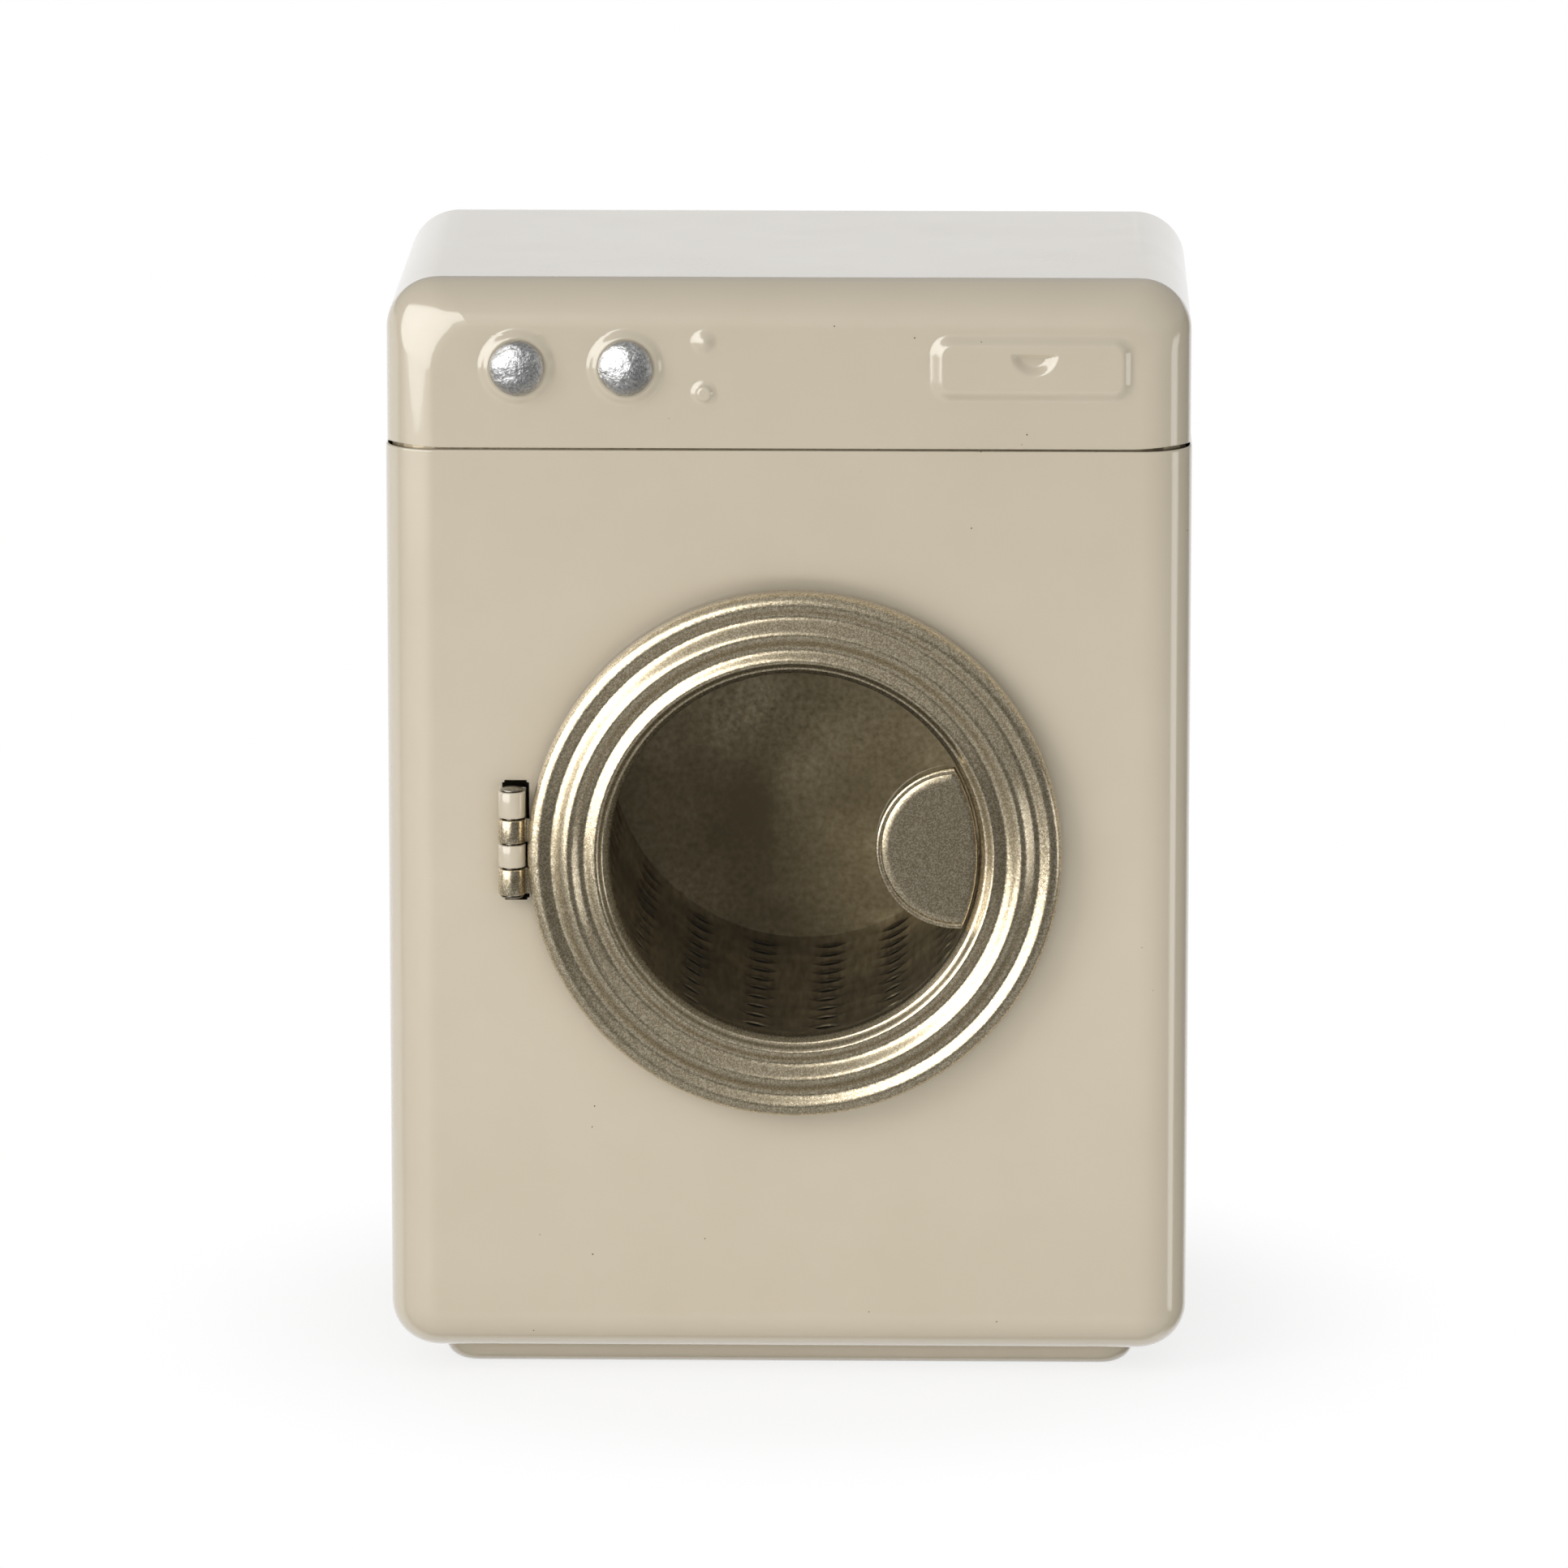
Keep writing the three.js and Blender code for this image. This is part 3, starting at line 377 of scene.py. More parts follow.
def flake_paint(name, dark, light, tilt, roughness):
    material, tree, place = finish_named(name)
    flakes = add(tree, "TexVoronoi", {"Vector": place, "Scale": per(FLAKE_WIDTH)})
    tone = add(
        tree,
        "MapRange",
        {"Value": flakes.outputs["Color"], "From Min": DARKEST_BELOW, "From Max": 1.0},
        interpolation_type="SMOOTHERSTEP",
    )
    colour = add(
        tree,
        "Mix",
        {0: tone.outputs[0], 6: srgb(dark), 7: srgb(light)},
        data_type="RGBA",
    )
    centred = add(
        tree,
        "VectorMath",
        {0: flakes.outputs["Color"], 1: (0.5, 0.5, 0.5)},
        operation="SUBTRACT",
    )
    tipped = add(
        tree,
        "VectorMath",
        {0: centred.outputs[0], 1: (tilt, tilt, tilt), 2: add(tree, "NewGeometry").outputs["Normal"]},
        operation="MULTIPLY_ADD",
    )
    normal = add(tree, "VectorMath", {0: tipped.outputs[0]}, operation="NORMALIZE")
    # The flakes are metal. The clear lacquer over them isn't quite level, which is why its coat is rough.
    paint = add(
        tree,
        "BsdfPrincipled",
        {
            "Base Color": colour.outputs[2],
            "Metallic": 0.93,
            "Roughness": roughness,
            "Coat Weight": 1.0,
            "Coat Roughness": 0.2,
            "Normal": normal.outputs[0],
        },
    )
    surface(tree, paint.outputs[0])
    return material


CHAMPAGNE = flake_paint("champagne flake paint", "#a8997b", "#e3d6ba", tilt=0.08, roughness=0.3)
print("made", CHAMPAGNE.name)

# %% [markdown]
# ## Bare metals
#
# The drum and all that is hidden is tinplate as it comes from the mill: dull, a little brown in a dark
# cabinet, with fine rolling lines and handling marks. The dials are cast-looking silver with a hammered
# skin, and the pin and the washers are drawn steel. They differ in colour, roughness and the scale of
# their marks.


# %% Metals
BLOTCH_WIDTH = 11
DARK_BELOW, LIGHT_ABOVE = 0.12, 0.42  # levels of marks times blotches
ROUGHNESS_SPREAD = 0.2


def bare_metal(name, dark, light, mark_width, roughness, dent_height, stretch=(1, 1, 1)):
    material, tree, place = finish_named(name)
    drawn_out = add(tree, "Mapping", {"Vector": place, "Scale": stretch})
    marks = add(
        tree,
        "TexNoise",
        {"Vector": drawn_out.outputs[0], "Scale": per(mark_width), "Detail": 5.0, "Roughness": 0.6},
    )
    blotch = add(tree, "TexNoise", {"Vector": place, "Scale": per(BLOTCH_WIDTH), "Detail": 2.0})
    mixed = add(tree, "Math", {0: marks.outputs["Fac"], 1: blotch.outputs["Fac"]}, operation="MULTIPLY")
    level = add(
        tree, "MapRange", {"Value": mixed.outputs[0], "From Min": DARK_BELOW, "From Max": LIGHT_ABOVE}
    )
    colour = add(tree, "Mix", {0: level.outputs[0], 6: srgb(dark), 7: srgb(light)}, data_type="RGBA")
    dull, bright = roughness * (1 + ROUGHNESS_SPREAD), roughness * (1 - ROUGHNESS_SPREAD)
    rough = add(tree, "MapRange", {"Value": level.outputs[0], "To Min": dull, "To Max": bright})
    height = add(tree, "Math", {0: marks.outputs["Fac"], 1: dent_height * MM}, operation="MULTIPLY")
    bump = add(tree, "Bump", {"Height": height.outputs[0], "Distance": 1.0})
    metal = add(
        tree,
        "BsdfPrincipled",
        {
            "Base Color": colour.outputs[2],
            "Metallic": 1.0,
            "Roughness": rough.outputs[0],
            "Normal": bump.outputs[0],
        },
    )
    surface(tree, metal.outputs[0])
    return material


TINPLATE = bare_metal(
    "bare tinplate",
    "#958972",
    "#c0b39c",
    mark_width=0.7,
    roughness=0.45,
    dent_height=0.004,
    stretch=(1, 0.12, 1),
)
SILVER = bare_metal(
    "hammered cast silver", "#a4a4a4", "#f6f6f4", mark_width=0.28, roughness=0.2, dent_height=0.11
)
STEEL = bare_metal(
    "drawn steel wire",
    "#6f695f",
    "#aaa498",
    mark_width=0.4,
    roughness=0.32,
    dent_height=0.004,
    stretch=(1, 1, 0.2),
)
print("made", TINPLATE.name, SILVER.name, STEEL.name)

# %% [markdown]
# ## Clear window
#
# The window is a stamped disc of clear polystyrene sheet. It has to throw reflections and let light
# through to the drum. A transmissive shader does the first. For shadow rays and for what the drum's
# metal mirrors it gives way to plain transparency, because light would otherwise have to find its way
# through the sheet by chance, and the drum would be grainy.


# %% Clear sheet
SMEAR_WIDTH, SMEAR_ROUGHNESS = 6, 0.006


def clear_sheet():
    material, tree, place = finish_named("clear polystyrene sheet")
    smear = add(tree, "TexNoise", {"Vector": place, "Scale": per(SMEAR_WIDTH), "Detail": 3.0})
    rough = add(
        tree, "MapRange", {"Value": smear.outputs["Fac"], "To Min": 0.0, "To Max": SMEAR_ROUGHNESS}
    )
    # Polystyrene bends light more than glass does, with an IOR of 1.59, so it mirrors a little more.
    sheet = add(
        tree,
        "BsdfPrincipled",
        {
            "Base Color": srgb("#f4f4f0"),
            "Roughness": rough.outputs[0],
            "IOR": 1.59,
            "Transmission Weight": 1.0,
        },
    )
    clear = add(tree, "BsdfTransparent", {"Color": srgb("#f0f0ec")})
    path = add(tree, "LightPath")
    mirrored, shadowed = path.outputs["Is Reflection Ray"], path.outputs["Is Shadow Ray"]
    seen = add(tree, "MixShader", {0: mirrored, 1: sheet.outputs[0], 2: clear.outputs[0]})
    mixed = add(tree, "MixShader", {0: shadowed, 1: seen.outputs[0], 2: clear.outputs[0]})
    surface(tree, mixed.outputs[0])
    return material


CLEAR = clear_sheet()
print("made", CLEAR.name)

# %% [markdown]
# ## Dressing a piece
#
# Each piece needs the same few things once its mesh is made: one finish, the body that it moves
# with, and the plain nodes of the frame that it stands for.


# %% Dress a piece
def dress(piece, material, body="cabinet", replaces=()):
    """Gives a piece its finish, its body and the frame nodes that it stands for."""
    piece.data.materials.clear()
    piece.data.materials.append(material)
    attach(piece, body)
    if replaces:
        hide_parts(*replaces)
    print(f"{piece.name}: {len(piece.data.vertices)} points on {body}")
    return piece


# %% [markdown]
# ## Body shell
#
# The body is one sheet wrapped to a tube, with both ends turned in: a small turn at the top, where the
# head sits, and a wide one at the bottom. Its section is closed here, outside and inside, so it is a
# true sheet with a thickness. The lock seam that closes the tube runs down the back as a groove between
# two soft shoulders. A boolean then cuts the round opening and the slot for the hinge.

# %% Section of the body
EDGE_RADIUS = 5.6
BOTTOM_RADIUS = 5
RIM_WIDTH = 0.6
PLINTH_CORNER = 4
TOP_TURN = 0.22  # radius of the turned-in top edge
TURN_LAP = 0.05  # how much wider the turn's inner edge is
ROUND_STEPS = 12
TURN_STEPS = 6
SEAM_START = 0.5  # the lock seam begins this far over the rounded lower edge
SEAM_GROOVE = 0.2  # half width and depth of the lock seam's groove
GROOVE_MOUTH, GROOVE_FLOOR = 1.6, 0.6  # times that half width
SEAM_SHOULDER = 2.2
SHOULDER_FOOT = 0.7  # times the shoulder's reach
SHOULDER_DROP = 0.25 * SEAM_GROOVE

PLINTH_Z = body_low.z


def round_under(radius):
    """Pairs (inset, rise) up a rounded lower edge, and down again on the sheet's inner side."""
    inner = radius - SHEET
    up, down = arc(0, QUARTER, ROUND_STEPS), arc(QUARTER, 0, ROUND_STEPS)
    outside = [(radius * (1 - math.sin(a)), radius * (1 - math.cos(a))) for a in up]
    return outside, [(radius - inner * math.sin(a), SHEET + inner * (1 - math.cos(a))) for a in down]


def body_level(inset, z, pressed=0.0):
    """The body's outline at an inset; the lock seam is pressed in by a share of its depth."""
    back = [
        (SEAM_SHOULDER, 0),
        (SEAM_SHOULDER * SHOULDER_FOOT, SHOULDER_DROP * pressed),
        (SEAM_GROOVE * GROOVE_MOUTH, SHOULDER_DROP * pressed),
        (SEAM_GROOVE * GROOVE_FLOOR, SEAM_GROOVE * pressed),
        (-SEAM_GROOVE * GROOVE_FLOOR, SEAM_GROOVE * pressed),
        (-SEAM_GROOVE * GROOVE_MOUTH, 0),
        (-SEAM_SHOULDER, 0),
    ]
    corner = PLINTH_CORNER if inset > BOTTOM_RADIUS + HAIR else EDGE_RADIUS - inset
    return outline(HALF_WIDTH - inset, HALF_DEPTH - inset, corner, z, back_columns=back)


bottom_arc, inner_arc = round_under(BOTTOM_RADIUS)
top_arc = [
    (TOP_TURN * (1 - math.cos(a)), SEAM_Z - TOP_TURN * (1 - math.sin(a)))
    for a in arc(0, QUARTER, TURN_STEPS)
]
hole_inset = BOTTOM_RADIUS + RIM_WIDTH
levels = [body_level(hole_inset, PLINTH_Z)]
levels += [body_level(inset, PLINTH_Z + rise) for inset, rise in bottom_arc]
levels += [body_level(0, PLINTH_Z + BOTTOM_RADIUS + SEAM_START, 1)]
levels += [body_level(inset, z, 1) for inset, z in top_arc]
levels += [body_level(TOP_TURN + TURN_LAP, SEAM_Z - SHEET), body_level(SHEET, SEAM_Z - 2 * SHEET)]
levels += [body_level(inset, PLINTH_Z + rise) for inset, rise in inner_arc]
levels += [body_level(hole_inset, PLINTH_Z + SHEET)]
body = make("body_shell_sheet", drawn(levels, loop=True))
print("body section levels:", len(levels))

# %% [markdown]
# The opening's edge is turned in to a short collar. Its roll is a turned piece that fills the cut
# exactly. The hinge slot is a plain stamped window beside it, where the hinge's body leaf goes through.

# %% Opening, collar and hinge slot
OPENING_RADIUS = 21.2
COLLAR_DEPTH = 4
COLLAR_ROLL = 0.6
COLLAR_LAP = 0.1
ROLL_STEPS = 8
DOOR_STEPS = 192


def at_door(u, v, height):
    """A point over the front face, about the door's middle."""
    return (DOOR_X + u, FRONT - height, DOOR_Z + v)


pin_low, pin_high = extent("hinge_pin")
leaf_low, leaf_high = extent("body_hinge_leaf")
HINGE_X = (pin_low.x + pin_high.x) / 2
HINGE_Y = (pin_low.y + pin_high.y) / 2
HINGE_LOW, HINGE_HIGH = leaf_low.z, leaf_high.z
KNUCKLE_RADIUS = 1.5
SLOT_LOW_X, SLOT_HIGH_X = HINGE_X - 1.1, HINGE_X + 1.85
SLOT_PAST_Z = 0.95
SLOT_CORNER = 0.25
HOLE_REACH, SLOT_REACH = 2, 1  # how far each tool goes before and behind the front

cut_radius = OPENING_RADIUS + COLLAR_ROLL
disc = [(0, -HOLE_REACH), (cut_radius, -HOLE_REACH), (cut_radius, HOLE_REACH), (0, HOLE_REACH)]
hole_tool = make("hole_tool", turned(disc, at_door, DOOR_STEPS))
slot_tool = make(
    "slot_tool",
    slab(
        (SLOT_LOW_X, FRONT - SLOT_REACH, HINGE_LOW - SLOT_PAST_Z),
        (SLOT_HIGH_X, FRONT + SLOT_REACH, HINGE_HIGH + SLOT_PAST_Z),
        SLOT_CORNER,
    ),
)
combine(body, "DIFFERENCE", hole_tool, slot_tool)
keep_flat(body)

collar_outer = OPENING_RADIUS + SHEET
roll = [
    (cut_radius - COLLAR_ROLL * math.sin(a), -COLLAR_ROLL * (1 - math.cos(a)))
    for a in arc(0, QUARTER, ROLL_STEPS)
]
collar_profile = [
    *roll,
    (OPENING_RADIUS, -COLLAR_DEPTH),
    (collar_outer, -COLLAR_DEPTH),
    (collar_outer, -COLLAR_ROLL - COLLAR_LAP),
    (cut_radius, -SHEET),
]
collar = make("body_door_collar", turned(collar_profile, at_door, DOOR_STEPS, loop=True))
dress(body, ENAMEL, replaces=["body_shell"])
dress(collar, ENAMEL)

# %% [markdown]
# ## Foot
#
# The foot is a shallow pan, set in all round, whose lower edge is rounded. It stands under the body's
# turned-in rim and holds on it with a flange inside.

# %% Base pan
PAN_EDGE = 2.2
PAN_GAP = 0.15  # all round, to the body's turned-in rim
PAN_HALF_WIDTH = HALF_WIDTH - BOTTOM_RADIUS - RIM_WIDTH - PAN_GAP
PAN_HALF_DEPTH = HALF_DEPTH - BOTTOM_RADIUS - RIM_WIDTH - PAN_GAP
PAN_CORNER = PLINTH_CORNER - PAN_GAP
LEAST_CORNER = 0.2
FLANGE_WIDTH = 1.6
FLOOR_INSET = PAN_EDGE + 1


def pan_level(inset, z):
    """The pan's outline at an inset; a negative one is its flange."""
    corner = max(PAN_CORNER - inset, LEAST_CORNER)
    return outline(PAN_HALF_WIDTH - inset, PAN_HALF_DEPTH - inset, corner, z)


pan_arc, pan_inner_arc = round_under(PAN_EDGE)
flange_low = pan_high.z - SHEET
pan_levels = [pan_level(FLOOR_INSET, 0)]
pan_levels += [pan_level(inset, z) for inset, z in pan_arc]
pan_levels += [
    pan_level(0, flange_low),
    pan_level(-FLANGE_WIDTH, flange_low),
    pan_level(-FLANGE_WIDTH, pan_high.z),
    pan_level(SHEET, pan_high.z),
]
pan_levels += [pan_level(inset, z) for inset, z in pan_inner_arc]
pan_levels += [pan_level(FLOOR_INSET, SHEET)]
foot = make("base_pan_sheet", drawn(pan_levels, caps=True))
keep_flat(foot)
dress(foot, ENAMEL, replaces=["base_pan"])

# %% [markdown]
# ## Head
#
# The head is one deep pressing, and the dial bosses, the two small buttons, the drawer front and its
# half-moon pull are all raised in its front by the same dies. They could be separate bodies laid on the
# front, but then their feet would not flow into the sheet. So the front is a dense grid, and one
# function says how high the sheet stands at each point. A solidify modifier gives the skin its
# thickness.

# %% How high the dies raise the sheet
dial_low, dial_high = extent("dial_left")
right_low, right_high = extent("dial_right")
DIAL_Z = (dial_low.z + dial_high.z) / 2
DIALS_X = [(dial_low.x + dial_high.x) / 2, (right_low.x + right_high.x) / 2]
DIAL_RADIUS = (dial_high.x - dial_low.x) / 2
HEAD_TOP = head_high.z
BOSS_HEIGHT, BOSS_SLOPE, BOSS_MARGIN = 0.65, 1.1, 0.25
BOSS_RADIUS = DIAL_RADIUS + BOSS_MARGIN + BOSS_SLOPE
BUTTON_FROM_DIAL = 8.5
BUTTON_X = DIALS_X[1] + BUTTON_FROM_DIAL
UPPER_BUTTON_DROP, LOWER_BUTTON_DROP = 6.3, 11.9
BUTTON_RADIUS, BUTTON_HEIGHT = 1.5, 0.65
STEPPED_BUTTON = ((BUTTON_RADIUS, 0.2, 0.6), (1.0, 0.4, 0.35))  # radius, height and slope of each step
DRAWER_FROM_SIDE, DRAWER_DROP = 17.5, 9.1
DRAWER_X, DRAWER_Z = HALF_WIDTH - DRAWER_FROM_SIDE, HEAD_TOP - DRAWER_DROP
DRAWER_HALF_WIDTH, DRAWER_HALF_HEIGHT, DRAWER_CORNER = 11.15, 3.8, 2.3
DRAWER_HEIGHT, DRAWER_SLOPE = 0.85, 1.45
PULL_RIGHT, PULL_RISE = 0.2, 1.8  # from the drawer's middle
PULL_X, PULL_TOP = DRAWER_X + PULL_RIGHT, DRAWER_Z + PULL_RISE
PULL_RADIUS, PULL_DEPTH = 2.7, 0.8
PULL_SLOPE, PULL_TOP_SLOPE = 1.3, 0.7
print(f"bosses {2 * BOSS_RADIUS:.1f} mm across, drawer {2 * DRAWER_HALF_WIDTH:.1f} mm wide")


# %% The pressed relief
def ease(share):
    """From 0 to 1 without a corner at either end."""
    share = np.clip(share, 0, 1)
    return share * share * (3 - 2 * share)


def relief(x, z):
    """How far the pressed sheet stands out at points of the front."""
    height = np.zeros_like(x)
    for dial_x in DIALS_X:
        radius = np.hypot(x - dial_x, z - DIAL_Z)
        height += BOSS_HEIGHT * ease((BOSS_RADIUS - radius) / BOSS_SLOPE)
    radius = np.hypot(x - BUTTON_X, z - (HEAD_TOP - UPPER_BUTTON_DROP))
    height += BUTTON_HEIGHT * ease(1 - radius / BUTTON_RADIUS)
    radius = np.hypot(x - BUTTON_X, z - (HEAD_TOP - LOWER_BUTTON_DROP))
    for step_radius, rise, slope in STEPPED_BUTTON:
        height += rise * ease((step_radius - radius) / slope)
    past_x = np.abs(x - DRAWER_X) - DRAWER_HALF_WIDTH + DRAWER_CORNER
    past_z = np.abs(z - DRAWER_Z) - DRAWER_HALF_HEIGHT + DRAWER_CORNER
    corner = np.hypot(np.maximum(past_x, 0), np.maximum(past_z, 0))
    inside = DRAWER_CORNER - corner - np.minimum(np.maximum(past_x, past_z), 0)
    height += DRAWER_HEIGHT * ease(inside / DRAWER_SLOPE)
    pull = np.hypot(x - PULL_X, z - PULL_TOP)
    bowl = np.minimum((PULL_RADIUS - pull) / PULL_SLOPE, (PULL_TOP - z) / PULL_TOP_SLOPE)
    height -= PULL_DEPTH * ease(bowl)
    return height


# %% Grid of the head's front
FINE_STEP = 0.15
HEAD_HALF_WIDTH, HEAD_HALF_DEPTH = head_high.x, HALF_DEPTH - (HALF_WIDTH - head_high.x)
HEAD_LOW = head_low.z
CORNER_LIFT, CORNER_LIFT_REACH = 0.3, 7.0
HEAD_CORNER = 5.6  # radius of the upper corners, as the front is looked at
HEAD_CORNER_TAPER = 0.2  # how much of the way in from the sides comes off it
HEAD_CORNER_STEPS = 30
PLAIN_COLUMNS, PLAIN_LEVELS, FOLD_STEPS = 8, 7, 20  # where the sheet is plain, or folds to the top
FINE_MARGIN, FLAT_MARGIN = 0.3, 0.1  # round what is embossed, and inside the front's flat


def fine_between(low, high):
    """Places close enough together to carry the relief."""
    return list(np.linspace(low, high, max(2, int((high - low) / FINE_STEP) + 1)))


head_edge = HEAD_HALF_WIDTH - EDGE_RADIUS
zones = [
    (FLAT_MARGIN - head_edge, DIALS_X[1] + BOSS_RADIUS + FINE_MARGIN),
    (BUTTON_X - BUTTON_RADIUS - FINE_MARGIN, BUTTON_X + BUTTON_RADIUS + FINE_MARGIN),
    (DRAWER_X - DRAWER_HALF_WIDTH - FINE_MARGIN, head_edge - FLAT_MARGIN),
]
front_x = [x for low, high in zones for x in fine_between(low, high)]
gaps = [(zones[0][1], zones[1][0]), (zones[1][1], zones[2][0])]
for low, high in gaps:
    front_x += list(np.linspace(low, high, PLAIN_COLUMNS)[1:-1])
front_x = sorted(front_x)

fold_z = HEAD_TOP - EDGE_RADIUS
relief_low = DIAL_Z - BOSS_RADIUS - FINE_MARGIN
relief_high = DIAL_Z + BOSS_RADIUS + FINE_MARGIN
head_levels = list(np.linspace(HEAD_LOW, relief_low, PLAIN_LEVELS)[:-1])
head_levels += fine_between(relief_low, relief_high)
start_turn = math.asin((relief_high - fold_z) / EDGE_RADIUS)
head_levels += [fold_z + EDGE_RADIUS * math.sin(a) for a in arc(start_turn, QUARTER, FOLD_STEPS)[1:]]
print(f"head's front: {len(front_x)} columns, {len(head_levels)} levels")


# %% Outlines of the head
def corner_curve(z):
    """A level's rounded corner from the side to the front, as (from the middle, from mid depth)."""
    deepest = min(EDGE_RADIUS, HEAD_TOP - z)
    flat_turn = math.asin(1 - deepest / EDGE_RADIUS)
    curve = []
    for a in arc(QUARTER, flat_turn, HEAD_CORNER_STEPS):
        step = EDGE_RADIUS * (1 - math.sin(a))
        radius = HEAD_CORNER - HEAD_CORNER_TAPER * step
        high = max(z - (HEAD_TOP - step - radius), 0)
        reach = math.sqrt(max(radius**2 - high**2, 0))
        x = HEAD_HALF_WIDTH - step - radius + reach
        curve.append((x, HEAD_HALF_DEPTH - EDGE_RADIUS * (1 - math.cos(a))))
    return curve


def head_outline(z, shrink=0.0):
    """Points round the head at a level, from its right side by way of the back."""
    curve = [(x - shrink, y - shrink) for x, y in corner_curve(z)]
    flat = curve[-1][0]
    columns = [(x * flat / head_edge, -curve[-1][1]) for x in front_x]
    points = curve + [(-x, y) for x, y in reversed(curve)]
    points += [(-x, -y) for x, y in curve] + columns + [(x, -y) for x, y in reversed(curve)]
    return np.array([(x, MIDDLE_Y + y, z) for x, y in points])


def head_level(z):
    """One outline of the head, raised by the dies at the front and lifted at its lower corners."""
    points = head_outline(z)
    if relief_low <= z <= relief_high:
        front = points[:, 1] < MIDDLE_Y
        points[front, 1] -= relief(points[front, 0], np.full(front.sum(), z))
    if z < HEAD_LOW + CORNER_LIFT_REACH:
        near_x = ease(1 - (HEAD_HALF_WIDTH - np.abs(points[:, 0])) / CORNER_LIFT_REACH)
        near_y = ease(1 - (HEAD_HALF_DEPTH - np.abs(points[:, 1] - MIDDLE_Y)) / CORNER_LIFT_REACH)
        fade = ease(1 - (z - HEAD_LOW) / CORNER_LIFT_REACH)
        points[:, 2] += CORNER_LIFT * near_x * near_y * fade
    return points


# %% Press the head
SHANK_HOLE = 1.25
TOP_INSETS = 0.8, 4
FRONT_DEPTH = 1  # what lies further back isn't the front


def head_skin():
    """The head's outer skin, with a round hole in each boss."""
    outlines = [head_level(z) for z in head_levels]
    outlines += [head_outline(HEAD_TOP, shrink) for shrink in TOP_INSETS]
    points, faces = drawn([[tuple(point) for point in level] for level in outlines])
    count = len(outlines[0])
    faces.append(list(range(len(points) - count, len(points))))
    spots = np.array(points)
    kept = []
    for face in faces:
        middle = spots[face].mean(axis=0)
        reach = min(math.hypot(middle[0] - x, middle[2] - DIAL_Z) for x in DIALS_X)
        if reach > SHANK_HOLE or middle[1] > FRONT + FRONT_DEPTH:
            kept.append(face)
    return points, kept


head = make("head_shell_sheet", head_skin())
thicken(head, -1)
keep_flat(head)
dress(head, ENAMEL, replaces=["head_shell"])

# %% [markdown]
# ## Door ring
#
# The porthole's ring is spun or pressed sheet with three round beads and a rolled lip round the window.
# A profile of crests and grooves, eased by a cosine from one to the next, gives the beads, and the same
# profile set back by the sheet gives the underside. The rim is notched where the hinge leaf runs in.

# %% Profile of the beads
PLATE_TOP = 0.7  # back ring's front face, over the cabinet's front
LIP_WIDTH = 8.95
LIP_RADIUS = RIM_RADIUS - LIP_WIDTH
WINDOW_BACK, WINDOW_FRONT = 0.85, 1.35
LIP_FOOT = 1.5
RIM_FOOT = 0.9
BEAD_HEIGHTS = [2.9, 2.45, 3.7, 2.65, 3.2, 2.3]
BEAD_SHARES = [0.14, 0.28, 0.49, 0.68, 0.825, 0.935]
RIM_SHOULDER = 1.6  # the rim is upright up to here, over the back ring
BEAD_STEPS, RIM_STEPS = 10, 14
# The notch for the hinge leaf, from outside the rim to inside it, and its room over the leaf's ends
NOTCH_PAST, NOTCH_DEPTH, NOTCH_HEIGHT, NOTCH_GAP = 1, 2.3, 1.4, 0.25
# The roll from the last bead down to the window: how far outside the lip, and how far over its foot
LIP_ROLL = [(0.16, 0.95), (0.04, 0.75), (0, 0.5), (0, 0.08), (0.08, 0), (SHEET, 0)]


def bead_curve():
    """From the rim in to the lip, as (radius, height over the front)."""
    radii = [RIM_RADIUS - share * LIP_WIDTH for share in BEAD_SHARES]
    heights = [PLATE_TOP + height for height in BEAD_HEIGHTS]
    curve = []
    spans = zip(radii, heights, radii[1:], heights[1:])
    for radius, height, next_radius, next_height in spans:
        for step in range(BEAD_STEPS):
            share = step / BEAD_STEPS
            eased = (1 - math.cos(share * math.pi)) / 2
            curve.append(
                (radius + share * (next_radius - radius), height + eased * (next_height - height))
            )
    return curve + [(radii[-1], heights[-1])]


def set_back(curve, depth):
    """The curve moved back across its own direction, for the underside of a sheet."""
    moved = []
    for i, (radius, height) in enumerate(curve):
        before, after = curve[max(i - 1, 0)], curve[min(i + 1, len(curve) - 1)]
        along = Vector((after[0] - before[0], after[1] - before[1])).normalized()
        moved.append((radius - depth * along.y, height + depth * along.x))
    return moved


beads = bead_curve()
rim_in, rim_rise = BEAD_SHARES[0] * LIP_WIDTH, BEAD_HEIGHTS[0] - RIM_SHOULDER
rim_edge = [(RIM_RADIUS, RIM_FOOT)] + [
    (RIM_RADIUS - rim_in * (1 - math.cos(a)), PLATE_TOP + RIM_SHOULDER + rim_rise * math.sin(a))
    for a in arc(0, QUARTER, RIM_STEPS)[:-1]
]
lip_edge = [(LIP_RADIUS + out, LIP_FOOT + up) for out, up in LIP_ROLL]
underside = set_back(beads, SHEET)
underside = [point for point in underside if LIP_RADIUS + SHEET < point[0] < RIM_RADIUS - SHEET]
ring_profile = rim_edge + beads + lip_edge + underside[::-1]
ring_profile += [(RIM_RADIUS - SHEET, PLATE_TOP + RIM_SHOULDER - SHEET), (RIM_RADIUS - SHEET, RIM_FOOT)]
door_ring = make("door_ring_pressing", turned(ring_profile, at_door, DOOR_STEPS, loop=True))
door_leaf_low, door_leaf_high = extent("door_hinge_leaf")
notch = make(
    "notch_tool",
    slab(
        (DOOR_X - RIM_RADIUS - NOTCH_PAST, FRONT - NOTCH_HEIGHT, door_leaf_low.z - NOTCH_GAP),
        (DOOR_X - RIM_RADIUS + NOTCH_DEPTH, FRONT, door_leaf_high.z + NOTCH_GAP),
    ),
)
combine(door_ring, "DIFFERENCE", notch)
